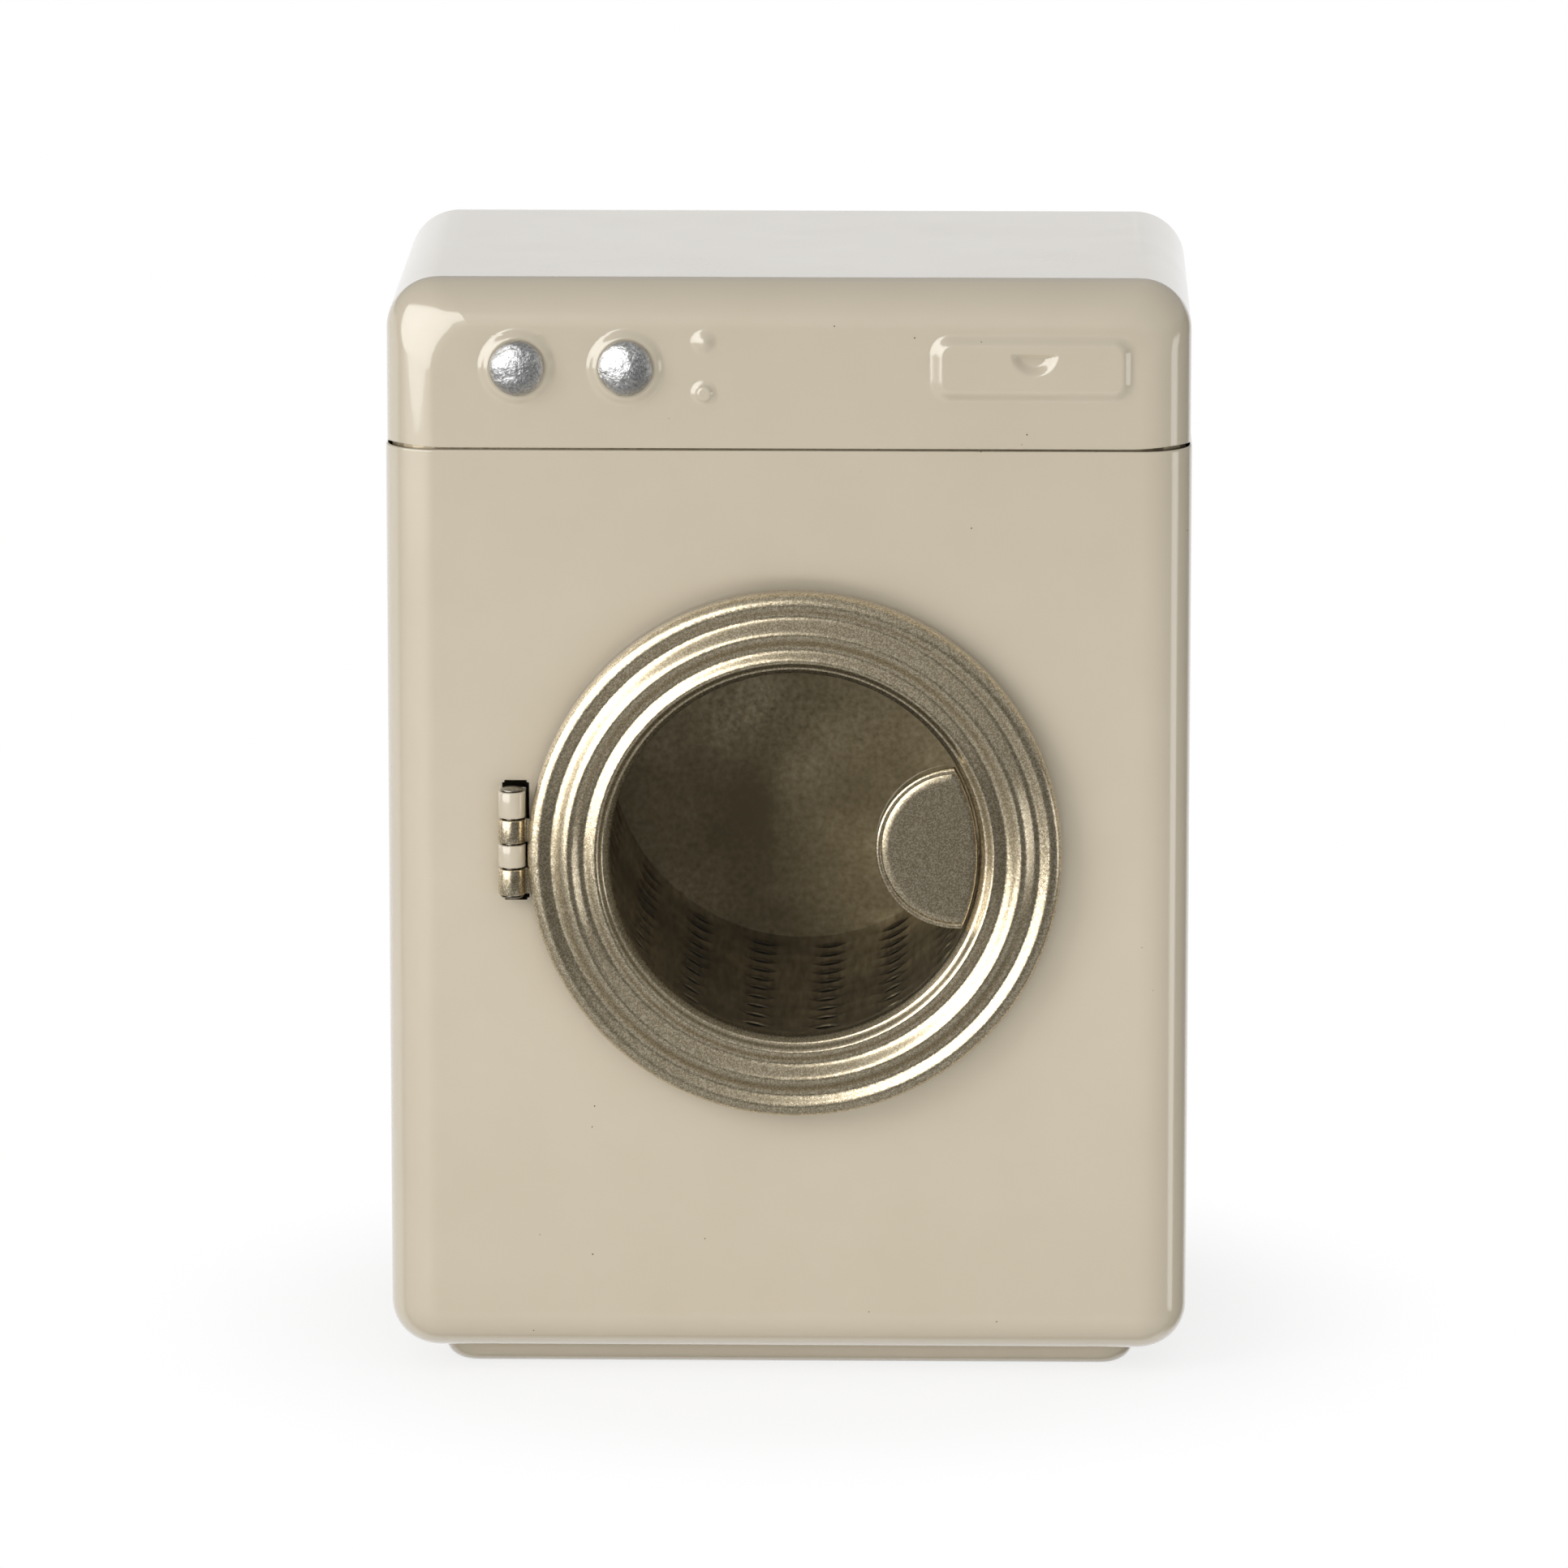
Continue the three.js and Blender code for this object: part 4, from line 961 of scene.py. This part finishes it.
dress(door_ring, CHAMPAGNE, "door", ["door_ring"])
print("ring profile points:", len(ring_profile))

# %% [markdown]
# ## Behind the door ring
#
# A back ring of bare sheet clamps the window against the ring's lip, and its short collar centres the
# door in the opening. With the door open it is the part that the eye falls on, so its edges are rounded
# too.

# %% Back ring and window
DOOR_GAP = 0.3  # to the cabinet's front, to its opening and to the ring's wall
SPIGOT_DEPTH = 1.2
EASE, WINDOW_EASE = 0.1, 0.05
spigot_outer = OPENING_RADIUS - DOOR_GAP
spigot_inner = spigot_outer - SHEET
plate_outer = RIM_RADIUS - SHEET - DOOR_GAP
back_profile = [
    (spigot_inner + EASE, -SPIGOT_DEPTH),
    (spigot_outer - EASE, -SPIGOT_DEPTH),
    (spigot_outer, -SPIGOT_DEPTH + EASE),
    (spigot_outer, DOOR_GAP - EASE),
    (spigot_outer + EASE, DOOR_GAP),
    (plate_outer - EASE, DOOR_GAP),
    (plate_outer, DOOR_GAP + EASE),
    (plate_outer, PLATE_TOP - EASE),
    (plate_outer - EASE, PLATE_TOP),
    (spigot_inner + SHEET, PLATE_TOP),
    (spigot_inner + EASE, PLATE_TOP - EASE),
    (spigot_inner, PLATE_TOP - SHEET),
    (spigot_inner, -SPIGOT_DEPTH + EASE),
]
back_ring = make("door_back_ring_plate", turned(back_profile, at_door, DOOR_STEPS, loop=True))
dress(back_ring, TINPLATE, "door", ["door_back_ring"])

window_low, window_high = extent("door_window")
window_radius = (window_high.x - window_low.x) / 2
window_profile = [
    (0, WINDOW_BACK),
    (window_radius - WINDOW_EASE, WINDOW_BACK),
    (window_radius, WINDOW_BACK + WINDOW_EASE),
    (window_radius, WINDOW_FRONT - WINDOW_EASE),
    (window_radius - WINDOW_EASE, WINDOW_FRONT),
    (0, WINDOW_FRONT),
]
window = make("door_window_disc", turned(window_profile, at_door, DOOR_STEPS))
dress(window, CLEAR, "door", ["door_window"])

# %% [markdown]
# ## Handle
#
# The handle is a half-moon of the same painted sheet, which stands just over the window. Its curved
# edge is rolled to a thin bead for the fingertip, and its long edge is folded down inside the ring's
# lip. Its outline is where two circles cross, so each step of the section is again two arcs: one pulled
# in by the roll, the other by the fold.

# %% Half-moon plate
HANDLE_RADIUS = 8.95
HANDLE_INSET = 2.45
HANDLE_RISE = 0.9
HANDLE_TOP = 2.8
FOLD_RADIUS = 0.5
ROLL_RADIUS, ROLL_DROP = 0.3, 0.1
HANDLE_GAP, WINDOW_GAP = 0.25, 0.15
WALL_RADIUS = LIP_RADIUS - HANDLE_GAP
FLAT_INSETS, MIDWAY_INSET = (1.5, 1.3), 0.75  # from the roll and the fold in to the flat middle
ARC_POINTS = 40
handle_x = LIP_RADIUS - HANDLE_INSET


def half_moon(roll_in, roll_height, fold_in, fold_height):
    """Points round the half-moon; each arc has its own inset and height."""
    disc_radius, lip_radius = HANDLE_RADIUS - roll_in, WALL_RADIUS - fold_in
    distance = math.hypot(handle_x, HANDLE_RISE)
    bearing = math.atan2(HANDLE_RISE, handle_x)
    half = math.acos((lip_radius**2 + distance**2 - disc_radius**2) / (2 * lip_radius * distance))
    fold_angles = arc(bearing - half, bearing + half, ARC_POINTS)
    points = [
        at_door(lip_radius * math.cos(a), lip_radius * math.sin(a), fold_height) for a in fold_angles
    ]
    ends = []
    for angle in (bearing + half, bearing - half):
        up = lip_radius * math.sin(angle) - HANDLE_RISE
        ends.append(math.atan2(up, lip_radius * math.cos(angle) - handle_x) % (2 * math.pi))
    points += [
        at_door(
            handle_x + disc_radius * math.cos(a), HANDLE_RISE + disc_radius * math.sin(a), roll_height
        )
        for a in arc(ends[0], ends[1], ARC_POINTS)
    ]
    return points


plate_low = HANDLE_TOP - SHEET
wall_foot = WINDOW_FRONT + WINDOW_GAP
from_roll, from_fold = FLAT_INSETS
sections = [
    half_moon(from_roll, HANDLE_TOP, from_fold, HANDLE_TOP),
    half_moon(MIDWAY_INSET, HANDLE_TOP, MIDWAY_INSET, HANDLE_TOP),
]
for a in arc(0, QUARTER, TURN_STEPS):
    sections.append(
        half_moon(
            ROLL_RADIUS * (1 + math.cos(2 * a)),
            HANDLE_TOP - ROLL_DROP + ROLL_RADIUS * math.sin(2 * a),
            FOLD_RADIUS * (1 - math.sin(a)),
            HANDLE_TOP - FOLD_RADIUS * (1 - math.cos(a)),
        )
    )
# Under the plate again: past the roll and the wall's foot, up inside the fold, and in to the middle
sections += [
    half_moon(0.06, plate_low + 0.08, 0, wall_foot),
    half_moon(0.2, plate_low, SHEET, wall_foot),
    half_moon(0.6, plate_low, SHEET, plate_low - FOLD_RADIUS + SHEET),
    half_moon(0.8, plate_low, 0.7, plate_low),
    half_moon(from_roll, plate_low, from_fold, plate_low),
]
handle = make("door_handle_plate", drawn(sections, caps=True))
dress(handle, CHAMPAGNE, "door", ["door_handle"])

# %% [markdown]
# ## Hinge
#
# The hinge is cut and rolled from the same sheet: two knuckles belong to the door's leaf and are
# sprayed champagne, two belong to the body's leaf and are enamelled with the cabinet. A headed pin runs
# through all four. The knuckles are short tubes with eased ends, joined to their leaf by a boolean.

# %% Knuckles and leaves
KNUCKLE_LENGTHS = [2.9, 2.5, 2.6, 2.9]
KNUCKLE_GAP = 0.2
BORE_RADIUS = KNUCKLE_RADIUS - SHEET
KNUCKLE_EASE, EASE_STEPS, KNUCKLE_STEPS = 0.16, 3, 40
ARM_INSET, ARM_BITE = 0.03, 0.1  # from a knuckle's ends, and from its bore
LEAF_STAND = 0.85  # the door leaf's distance from the cabinet's front
PLATE_GAP, PLATE_LAP = 0.4, 0.3
HAIRLINE = 0.02  # keeps two faces of the body's leaf from lying in one plane


def at_hinge(u, v, height):
    """A point round the hinge's upright axis."""
    return (HINGE_X + u, HINGE_Y + v, height)


def knuckle_range(index):
    """The lowest and highest point of a knuckle, counted from below."""
    low = HINGE_LOW + sum(KNUCKLE_LENGTHS[:index]) + index * KNUCKLE_GAP
    return low, low + KNUCKLE_LENGTHS[index]


def knuckle(index):
    """A short tube round the pin, with eased ends."""
    low, high = knuckle_range(index)
    eased = [
        (KNUCKLE_RADIUS - KNUCKLE_EASE * (1 - math.sin(a)), KNUCKLE_EASE * (1 - math.cos(a)))
        for a in arc(0, QUARTER, EASE_STEPS)
    ]
    profile = [(BORE_RADIUS, low), *[(radius, low + rise) for radius, rise in eased]]
    profile += [(radius, high - rise) for radius, rise in reversed(eased)]
    profile += [(BORE_RADIUS, high)]
    return turned(profile, at_hinge, KNUCKLE_STEPS, loop=True)


def leaf(name, owned, plate, arm_low, arm_high):
    """A hinge leaf: its knuckles, an arm from each, and the plate that they share."""
    made = make(name, plate)
    tools = []
    for index in owned:
        low, high = knuckle_range(index)
        arm = slab((*arm_low, low + ARM_INSET), (*arm_high, high - ARM_INSET))
        tools.append(make("arm", arm))
        tools.append(make("knuckle", knuckle(index)))
    combine(made, "UNION", *tools)
    return made


leaf_near, leaf_far = FRONT - LEAF_STAND, FRONT - LEAF_STAND - SHEET
plate_x = HINGE_X + KNUCKLE_RADIUS + PLATE_GAP
door_leaf = leaf(
    "door_hinge_leaf_rolled",
    (0, 2),
    slab((plate_x, leaf_far, door_leaf_low.z), (door_leaf_high.x, leaf_near, door_leaf_high.z)),
    (HINGE_X + BORE_RADIUS + ARM_BITE, leaf_far),
    (plate_x + PLATE_LAP, leaf_near),
)
dress(door_leaf, CHAMPAGNE, "door", ["door_hinge_leaf"])

body_leaf = leaf(
    "body_hinge_leaf_rolled",
    (1, 3),
    slab(
        (leaf_low.x, leaf_high.y - SHEET, HINGE_LOW),
        (HINGE_X + KNUCKLE_RADIUS, leaf_high.y, HINGE_HIGH),
    ),
    (HINGE_X + BORE_RADIUS + HAIRLINE, HINGE_Y),
    (HINGE_X + KNUCKLE_RADIUS, leaf_high.y - HAIRLINE),
)
dress(body_leaf, ENAMEL, replaces=["body_hinge_leaf"])

# %% Pin
PIN_RADIUS, PIN_STEPS = 0.85, 32
HEAD_RISE, HEAD_FLAT = 0.35, 0.3  # height of a head, and the angle of the flat on its crown
head_radius = (pin_high.x - pin_low.x) / 2
crown = [
    (head_radius * math.sin(a), HEAD_RISE * (1 - math.cos(a)))
    for a in arc(HEAD_FLAT, QUARTER, TURN_STEPS)
]
pin_profile = [(0, pin_low.z)] + [(radius, pin_low.z + rise) for radius, rise in crown]
pin_profile += [(PIN_RADIUS, pin_low.z + HEAD_RISE), (PIN_RADIUS, pin_high.z - HEAD_RISE)]
pin_profile += [(radius, pin_high.z - rise) for radius, rise in reversed(crown)] + [(0, pin_high.z)]
pin = make("hinge_pin_wire", turned(pin_profile, at_hinge, PIN_STEPS))
dress(pin, STEEL, replaces=["hinge_pin"])

# %% [markdown]
# ## Drum
#
# The drum is a rolled sheet with columns of lens-shaped slots, whose edges are drawn outwards by the
# punch. A boolean with 180 cutters would be slow and give no drawn edges. So one cell is drawn flat, a
# lens inside a rectangle with rings between, and is wrapped on the cylinder at every place. Cells meet
# point to point.

# %% One slot cell, and the drum from many
COLLAR_GAP, DRUM_GAP = 0.7, 0.15  # from the collar and from the front face to the drum
DRUM_RADIUS = OPENING_RADIUS + SHEET + COLLAR_GAP
SLOT_COLUMNS, SLOT_ROWS = 18, 10
SLOT_LENGTH, SLOT_WIDTH, SLOT_POINT = 3.35, 2.2, 1.6  # the higher the last, the blunter the ends
SLOT_PITCH, SLOT_FIRST_DEPTH = 4.6, 11
SLOT_TURN = math.radians(8)
CELL_SIDE = 6  # steps along each side of a cell
SLOT_DRAW = 0.28
DRAWN_EDGE = ((0, SLOT_DRAW), (0.13, SLOT_DRAW * 0.45), (0.3, 0.03), (0.5, 0))  # growth, and how far out
CAN_STEPS = SLOT_COLUMNS * CELL_SIDE
drum_front = SHEET + DRUM_GAP
drum_back = extent("drum_shell")[1].y - FRONT
cell_turn = math.pi / SLOT_COLUMNS


def cell_border():
    """Points round a square from -1 to 1, the same number on each side."""
    steps = [2 * i / CELL_SIDE - 1 for i in range(CELL_SIDE)]
    right, top = [(1, s) for s in steps], [(-s, 1) for s in steps]
    left, bottom = [(-1, -s) for s in steps], [(s, -1) for s in steps]
    return right + top + left + bottom


def on_drum(turn, depth, out):
    """A point of the drum, at an angle from its lowest line and a depth behind the front."""
    radius = DRUM_RADIUS + out
    return (DOOR_X + radius * math.sin(turn), FRONT + depth, DOOR_Z - radius * math.cos(turn))


def lens_ring(turn, depth, grow, out):
    """Points round one slot, grown by so many millimetres and drawn outwards."""
    points = []
    for side, end in cell_border():
        angle = math.atan2(end, side)
        along = (SLOT_LENGTH / 2 + grow) * math.cos(angle)
        across = (SLOT_WIDTH / 2 + grow) * (1 - abs(math.cos(angle)) ** SLOT_POINT)
        across = math.copysign(across, math.sin(angle))
        points.append(on_drum(turn + along / DRUM_RADIUS, depth + across, out))
    return points


def slot_cell(turn, depth):
    """One slot with its drawn edge, in its own piece of plain sheet."""
    rings = [lens_ring(turn, depth, grow, out) for grow, out in DRAWN_EDGE]
    border = [(turn + side * cell_turn, depth + end * SLOT_PITCH / 2) for side, end in cell_border()]
    rings.append([on_drum(*place, 0) for place in border])
    return drawn(rings)


def plain_band(start, end):
    """A band of plain sheet round the drum, in step with the cells."""
    turns = [SLOT_TURN - cell_turn + 2 * cell_turn * i / CELL_SIDE for i in range(CAN_STEPS)]
    return drawn([[on_drum(turn, depth, 0) for turn in turns] for depth in (start, end)])


cells = [
    slot_cell(SLOT_TURN + 2 * cell_turn * column, SLOT_FIRST_DEPTH + row * SLOT_PITCH)
    for column in range(SLOT_COLUMNS)
    for row in range(SLOT_ROWS)
]
first_cell = SLOT_FIRST_DEPTH - SLOT_PITCH / 2
last_cell = SLOT_FIRST_DEPTH + (SLOT_ROWS - 0.5) * SLOT_PITCH
bands = [plain_band(drum_front, first_cell), plain_band(last_cell, drum_back)]
drum = make("drum_shell_sheet", *cells, *bands)
thicken(drum, 1)
dress(drum, TINPLATE, replaces=["drum_shell"])

# %% [markdown]
# The drum's far end is a pressed cap, with a flange over the drum, and its near end sits in a flanged
# sleeve on the back of the front face. Both are turned skins with eased corners.

# %% Cap and mount ring
cap_low, cap_high = extent("drum_end_cap")
mount_low, mount_high = extent("drum_mount_ring")
cap_outer = (cap_high.x - cap_low.x) / 2
cap_inner = cap_outer - SHEET
cap_floor = FRONT - cap_high.y  # over the front face, so it is negative inside
cap_mouth = FRONT - cap_low.y
CAP_ROUND, CAP_STEPS = 0.5, 5
cap_profile = [
    (0, cap_floor + SHEET),
    (cap_inner, cap_floor + SHEET),
    (cap_inner, cap_mouth),
    (cap_outer, cap_mouth),
    *[
        (cap_outer - CAP_ROUND * (1 - math.cos(a)), cap_floor + CAP_ROUND * (1 - math.sin(a)))
        for a in arc(0, QUARTER, CAP_STEPS)
    ],
    (0, cap_floor),
]
cap = make("drum_end_cap_pressing", turned(cap_profile, at_door, CAN_STEPS))
dress(cap, TINPLATE, replaces=["drum_end_cap"])

FLANGE_REACH = 3
mount_outer = (mount_high.x - mount_low.x) / 2
sleeve_inner = mount_outer - FLANGE_REACH
sleeve_back = FRONT - mount_high.y
mount_face = FRONT - mount_low.y
mount_profile = [
    (sleeve_inner, sleeve_back),
    (sleeve_inner, mount_face - EASE),
    (sleeve_inner + EASE, mount_face),
    (mount_outer, mount_face),
    (mount_outer, mount_face - SHEET),
    (sleeve_inner + SHEET + EASE, mount_face - SHEET),
    (sleeve_inner + SHEET, mount_face - SHEET - EASE),
    (sleeve_inner + SHEET, sleeve_back),
]
mount = make("drum_mount_ring_sleeve", turned(mount_profile, at_door, CAN_STEPS, loop=True))
dress(mount, TINPLATE, replaces=["drum_mount_ring"])

# %% [markdown]
# ## Dials
#
# Each dial is a small domed stud with a rough hammered skin and an edge that isn't quite round. A
# smooth dome would look like a ball bearing, so its points are moved by noise, first in broad dents and
# then in finer ones. Its shank runs through the boss to a washer behind it.

# %% Hammered studs
DOME = 1.45
DOME_BASE = FRONT - dial_low.y - DOME
SHANK_RADIUS = 1
TAIL_RADIUS = 1.6
DENTS = ((1.9, 0.1), (0.6, 0.05))  # width and depth of the dents
DENT_SHIFT, DENT_FADE = 3, 0.3  # sets the two dials' dents apart, and keeps the foot level
CROWN_RADIUS = 0.5  # so near the middle the dents only go up and down
DOME_STEPS, STUD_STEPS = 26, 96
EDGE_SPREAD, UNDERCUT = 0.05, 0.15
dome_radius = DIAL_RADIUS + EDGE_SPREAD
dome_under = DOME_BASE - 0.001  # just under the dome, where the dents leave it flat
tail_back = FRONT - dial_high.y
dome = [
    (dome_radius * math.sin(a), DOME_BASE + DOME * math.cos(a))
    for a in arc(0, QUARTER, DOME_STEPS)[1:]
]
stud_profile = [
    (0, DOME_BASE + DOME),
    *dome,
    (dome_radius - UNDERCUT, dome_under),
    (SHANK_RADIUS, dome_under),
    (SHANK_RADIUS, tail_back + SHEET),
    (TAIL_RADIUS, tail_back + SHEET),
    (TAIL_RADIUS - EASE, tail_back),
    (0, tail_back),
]


def stud(name, dial_x):
    """A dial with its shank and riveted tail, about its own axis."""

    def at_dial(u, v, height):
        if height > DOME_BASE - HAIR:
            spot = Vector((u + dial_x * DENT_SHIFT, v, height))
            push = sum(depth * noise.noise(spot / width) for width, depth in DENTS)
            height += push * min(1, (height - DOME_BASE) / DENT_FADE)
            spread = 1 + push / DIAL_RADIUS if math.hypot(u, v) > CROWN_RADIUS else 1
            u, v = u * spread, v * spread
        return (dial_x + u, FRONT - height, DIAL_Z + v)

    return make(name, turned(stud_profile, at_dial, STUD_STEPS))


for side, dial_x in zip(("left", "right"), DIALS_X):
    dial = stud(f"dial_{side}_stud", dial_x)
    dress(dial, SILVER, f"{side}_dial", [f"dial_{side}"])

# %% [markdown]
# ## Pieces that the frame already has right
#
# The neck band inside the seam and the washers behind the bosses are plain strips and rings that hardly
# show. They stay as the frame has them, and only take a finish.

# %% Finish the frame's own pieces
for node_name, material in (
    ("neck_band", TINPLATE),
    ("dial_washer_left", STEEL),
    ("dial_washer_right", STEEL),
):
    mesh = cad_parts[node_name].data
    mesh.materials.clear()
    mesh.materials.append(material)
    print("finished", node_name)

# %% [markdown]
# ## Floor and studio
#
# The machine stands on white paper in a light studio. Soft light comes from the ceiling, the front and
# the paper below. What gives the gloss its shape is where the room is bright and where it is dark. The
# camera sees the paper as white, but for the soft shadow near the foot.

# %% Floor
FLOOR_HALF, FLOOR_DROP = 4000, 0.03
SHADOW_START, SHADOW_END = 42, 78  # from the middle, where the paper goes from shadowed to plain white
WHITE_SHARE = 0.8  # of plain white that is mixed in nearer than that
corners = [(-1, -1), (1, -1), (1, 1), (-1, 1)]
floor_mesh = bpy.data.meshes.new("studio_floor")
floor_mesh.from_pydata(
    [(x * FLOOR_HALF * MM, y * FLOOR_HALF * MM, -FLOOR_DROP * MM) for x, y in corners],
    [],
    [(0, 1, 2, 3)],
)
floor = bpy.data.objects.new("studio_floor", floor_mesh)
bpy.context.collection.objects.link(floor)
paper, tree, place = finish_named("white paper")
fibre = add(tree, "TexNoise", {"Vector": place, "Scale": per(3), "Detail": 2.0})
tone = add(
    tree, "Mix", {0: fibre.outputs["Fac"], 6: srgb("#eeeeed"), 7: srgb("#f1f1f0")}, data_type="RGBA"
)
matt = add(tree, "BsdfDiffuse", {"Color": tone.outputs[2]})
glow = add(tree, "Emission", {"Color": srgb("#ffffff"), "Strength": 1.0})
reach = add(tree, "VectorMath", {0: place}, operation="LENGTH")
lift = add(
    tree,
    "MapRange",
    {
        "Value": reach.outputs["Value"],
        "From Min": SHADOW_START * MM,
        "From Max": SHADOW_END * MM,
        "To Min": WHITE_SHARE,
        "To Max": 1.0,
    },
    interpolation_type="SMOOTHSTEP",
)
shown = add(
    tree,
    "Math",
    {0: lift.outputs[0], 1: add(tree, "LightPath").outputs["Is Camera Ray"]},
    operation="MULTIPLY",
)
lifted = add(tree, "MixShader", {0: shown.outputs[0], 1: matt.outputs[0], 2: glow.outputs[0]})
surface(tree, lifted.outputs[0])
floor_mesh.materials.append(paper)
floor.visible_glossy = False
floor.visible_transmission = False
print(f"floor, with its shadow up to {SHADOW_END} mm from the middle")

# %% [markdown]
# The room's own light is soft: it comes from a pale ceiling and from in front of the machine. What a
# glossy surface reflects is drawn more sharply, because the beads of the porthole and the rounded edges
# show it: white paper behind and low at the left, a narrow bright strip far round at the right, greys
# above, below and at both sides, and a dark gap where the camera stands. The drum gathers light from a
# whole room through one window, so the room counts as a little lighter for what its metal mirrors.

# %% Directions in the room
world = bpy.data.worlds.new("studio")
bpy.context.scene.world = world
world.use_nodes = True
tree = world.node_tree
tree.nodes.clear()
direction = add(tree, "SeparateXYZ", {0: add(tree, "TexCoord").outputs["Generated"]})


def fade_along(axis, start, end, strength=1.0):
    """From 0 to a strength as the direction's axis goes from start to end; 1 is straight along it."""
    ranged = add(
        tree,
        "MapRange",
        {"Value": direction.outputs[axis], "From Min": start, "From Max": end, "To Max": strength},
        interpolation_type="SMOOTHSTEP",
    )
    return ranged.outputs[0]


def calculate(operation, *values):
    """One number from several, taken two at a time."""
    result = values[0]
    for value in values[1:]:
        result = add(tree, "Math", {0: result, 1: value}, operation=operation).outputs[0]
    return result


def both(*values):
    """Bright only where every one of them is."""
    return calculate("MULTIPLY", *values)


# %% What gloss mirrors
DARK_ROOM, DIM_SIDE, GREY_ROOM = 0.04, 0.18, 0.37
PAPER_BEHIND, PAPER_LEFT, BRIGHT_STREAK = 0.95, 0.35, 2.2
before = fade_along("Y", 0.05, -0.05)
paper_behind = both(
    fade_along("Y", 0.0, 0.3, PAPER_BEHIND), fade_along("Z", 0.23, 0.175), fade_along("X", 0.75, 0.45)
)
paper_left = both(fade_along("X", -0.3, -0.45, PAPER_LEFT), fade_along("Z", -0.05, -0.15), before)
streak = both(
    fade_along("X", 0.94, 0.96, BRIGHT_STREAK), fade_along("Y", 0.1, 0.0), fade_along("Z", 0.1, 0.02)
)
grey_left = both(fade_along("X", -0.2, -0.4, DIM_SIDE), before)
grey_right = both(fade_along("X", 0.2, 0.4, DIM_SIDE / 2), before)
grey_above = fade_along("Z", 0.12, 0.3, GREY_ROOM)
grey_below = both(fade_along("Z", -0.3, -0.45, GREY_ROOM), before)
bright_parts = [paper_behind, paper_left, streak, grey_left, grey_right, grey_above, grey_below]
reflected = calculate("MAXIMUM", *bright_parts, DARK_ROOM)
print("room for the gloss:", len(bright_parts), "bright parts")

# %% What each kind of ray meets
HORIZON_FILL, CEILING_FILL, FRONT_FILL = 0.06, 0.78, 0.38
THROUGH_WINDOW, BRIGHTEST_THERE = 0.6, 1.3  # what is added for the drum, and how bright it gets
ceiling = add(
    tree,
    "MapRange",
    {"Value": direction.outputs["Z"], "To Min": HORIZON_FILL, "To Max": CEILING_FILL},
)
soft = calculate("ADD", ceiling.outputs[0], fade_along("Y", 0.0, -1.0, FRONT_FILL))
path = add(tree, "LightPath")
glossy = calculate("MAXIMUM", path.outputs["Is Glossy Ray"], path.outputs["Is Transmission Ray"])
mirrored = add(tree, "Mix", {0: glossy, 2: soft, 3: reflected})
lighter = calculate("MINIMUM", calculate("ADD", reflected, THROUGH_WINDOW), BRIGHTEST_THERE)
behind_window = calculate("GREATER_THAN", path.outputs["Transmission Depth"], 1.0)  # past both its faces
from_drum = both(behind_window, path.outputs["Is Glossy Ray"])
unseen = add(tree, "Mix", {0: from_drum, 2: mirrored.outputs[0], 3: lighter})
strength = add(tree, "Mix", {0: path.outputs["Is Camera Ray"], 2: unseen.outputs[0], 3: 1.0})
backdrop = add(tree, "Background", {"Color": srgb("#ffffff"), "Strength": strength.outputs[0]})
add(tree, "OutputWorld", {"Surface": backdrop.outputs[0]})
print("world nodes:", len(tree.nodes))

# %% [markdown]
# A softbox at the upper left gives the plain light. What the enamel and the beads mirror on that side
# is a panel of its own, because its size and place set the crescent on the head's corner and the bright
# bands of the ring. A low card lies in front of the machine, out of view, and lifts the lower half of
# the front as white paper does.


# %% Lights
MIDDLE = Vector((0, 0, 60)) * MM  # what the lamps face


def towards(azimuth, elevation):
    """The direction from the machine, in degrees to the right of its front and upwards."""
    turn, rise = math.radians(azimuth), math.radians(elevation)
    return Vector((math.sin(turn) * math.cos(rise), -math.cos(turn) * math.cos(rise), math.sin(rise)))


def panel(name, azimuth, elevation, distance, width, height, radiance):
    """An area lamp that faces the machine, in metres; radiance is how bright it looks."""
    data = bpy.data.lights.new(name, "AREA")
    data.shape = "RECTANGLE"
    data.size, data.size_y = width, height
    data.energy = radiance * math.pi * width * height
    lamp = bpy.data.objects.new(name, data)
    bpy.context.collection.objects.link(lamp)
    back = towards(azimuth, elevation)
    lamp.location = MIDDLE + back * distance
    lamp.rotation_euler = back.to_track_quat("Z", "Y").to_euler()
    print(f"{name}: {data.energy:.1f} W")
    return lamp


left_softbox = panel(
    "left_softbox", azimuth=-49, elevation=26, distance=0.9, width=0.44, height=0.44, radiance=4.4
)
left_softbox.visible_glossy = False
left_window = panel(
    "left_window", azimuth=-47, elevation=19, distance=0.9, width=1.2, height=0.86, radiance=4.0
)
left_window.visible_diffuse = False
low_card = panel(
    "low_card", azimuth=5, elevation=-13, distance=0.17, width=0.5, height=0.04, radiance=2.0
)
low_card.visible_camera = False
low_card.visible_glossy = False
low_card.visible_transmission = False

# %% [markdown]
# ## Camera
#
# The photograph is taken with a long lens from a little above the head, almost straight on. The view
# was fitted to the machine's own corners, and no shift is needed.

# %% Camera and finish
AZIMUTH, ELEVATION, DISTANCE, LENS, SENSOR = 1.159, 11.588, 1.2, 246.27, 36
AIM = Vector((-0.955, -1, 61.575)) * MM  # what the camera faces
back = towards(AZIMUTH, ELEVATION)
camera_data = bpy.data.cameras.new("camera")
camera_data.lens, camera_data.sensor_width = LENS, SENSOR
camera = bpy.data.objects.new("camera", camera_data)
bpy.context.collection.objects.link(camera)
camera.location = AIM + back * DISTANCE
camera.rotation_euler = back.to_track_quat("Z", "Y").to_euler()
bpy.context.scene.camera = camera
bpy.context.scene.view_settings.view_transform = "Standard"
print(f"camera {DISTANCE} m away, lens {LENS} mm")
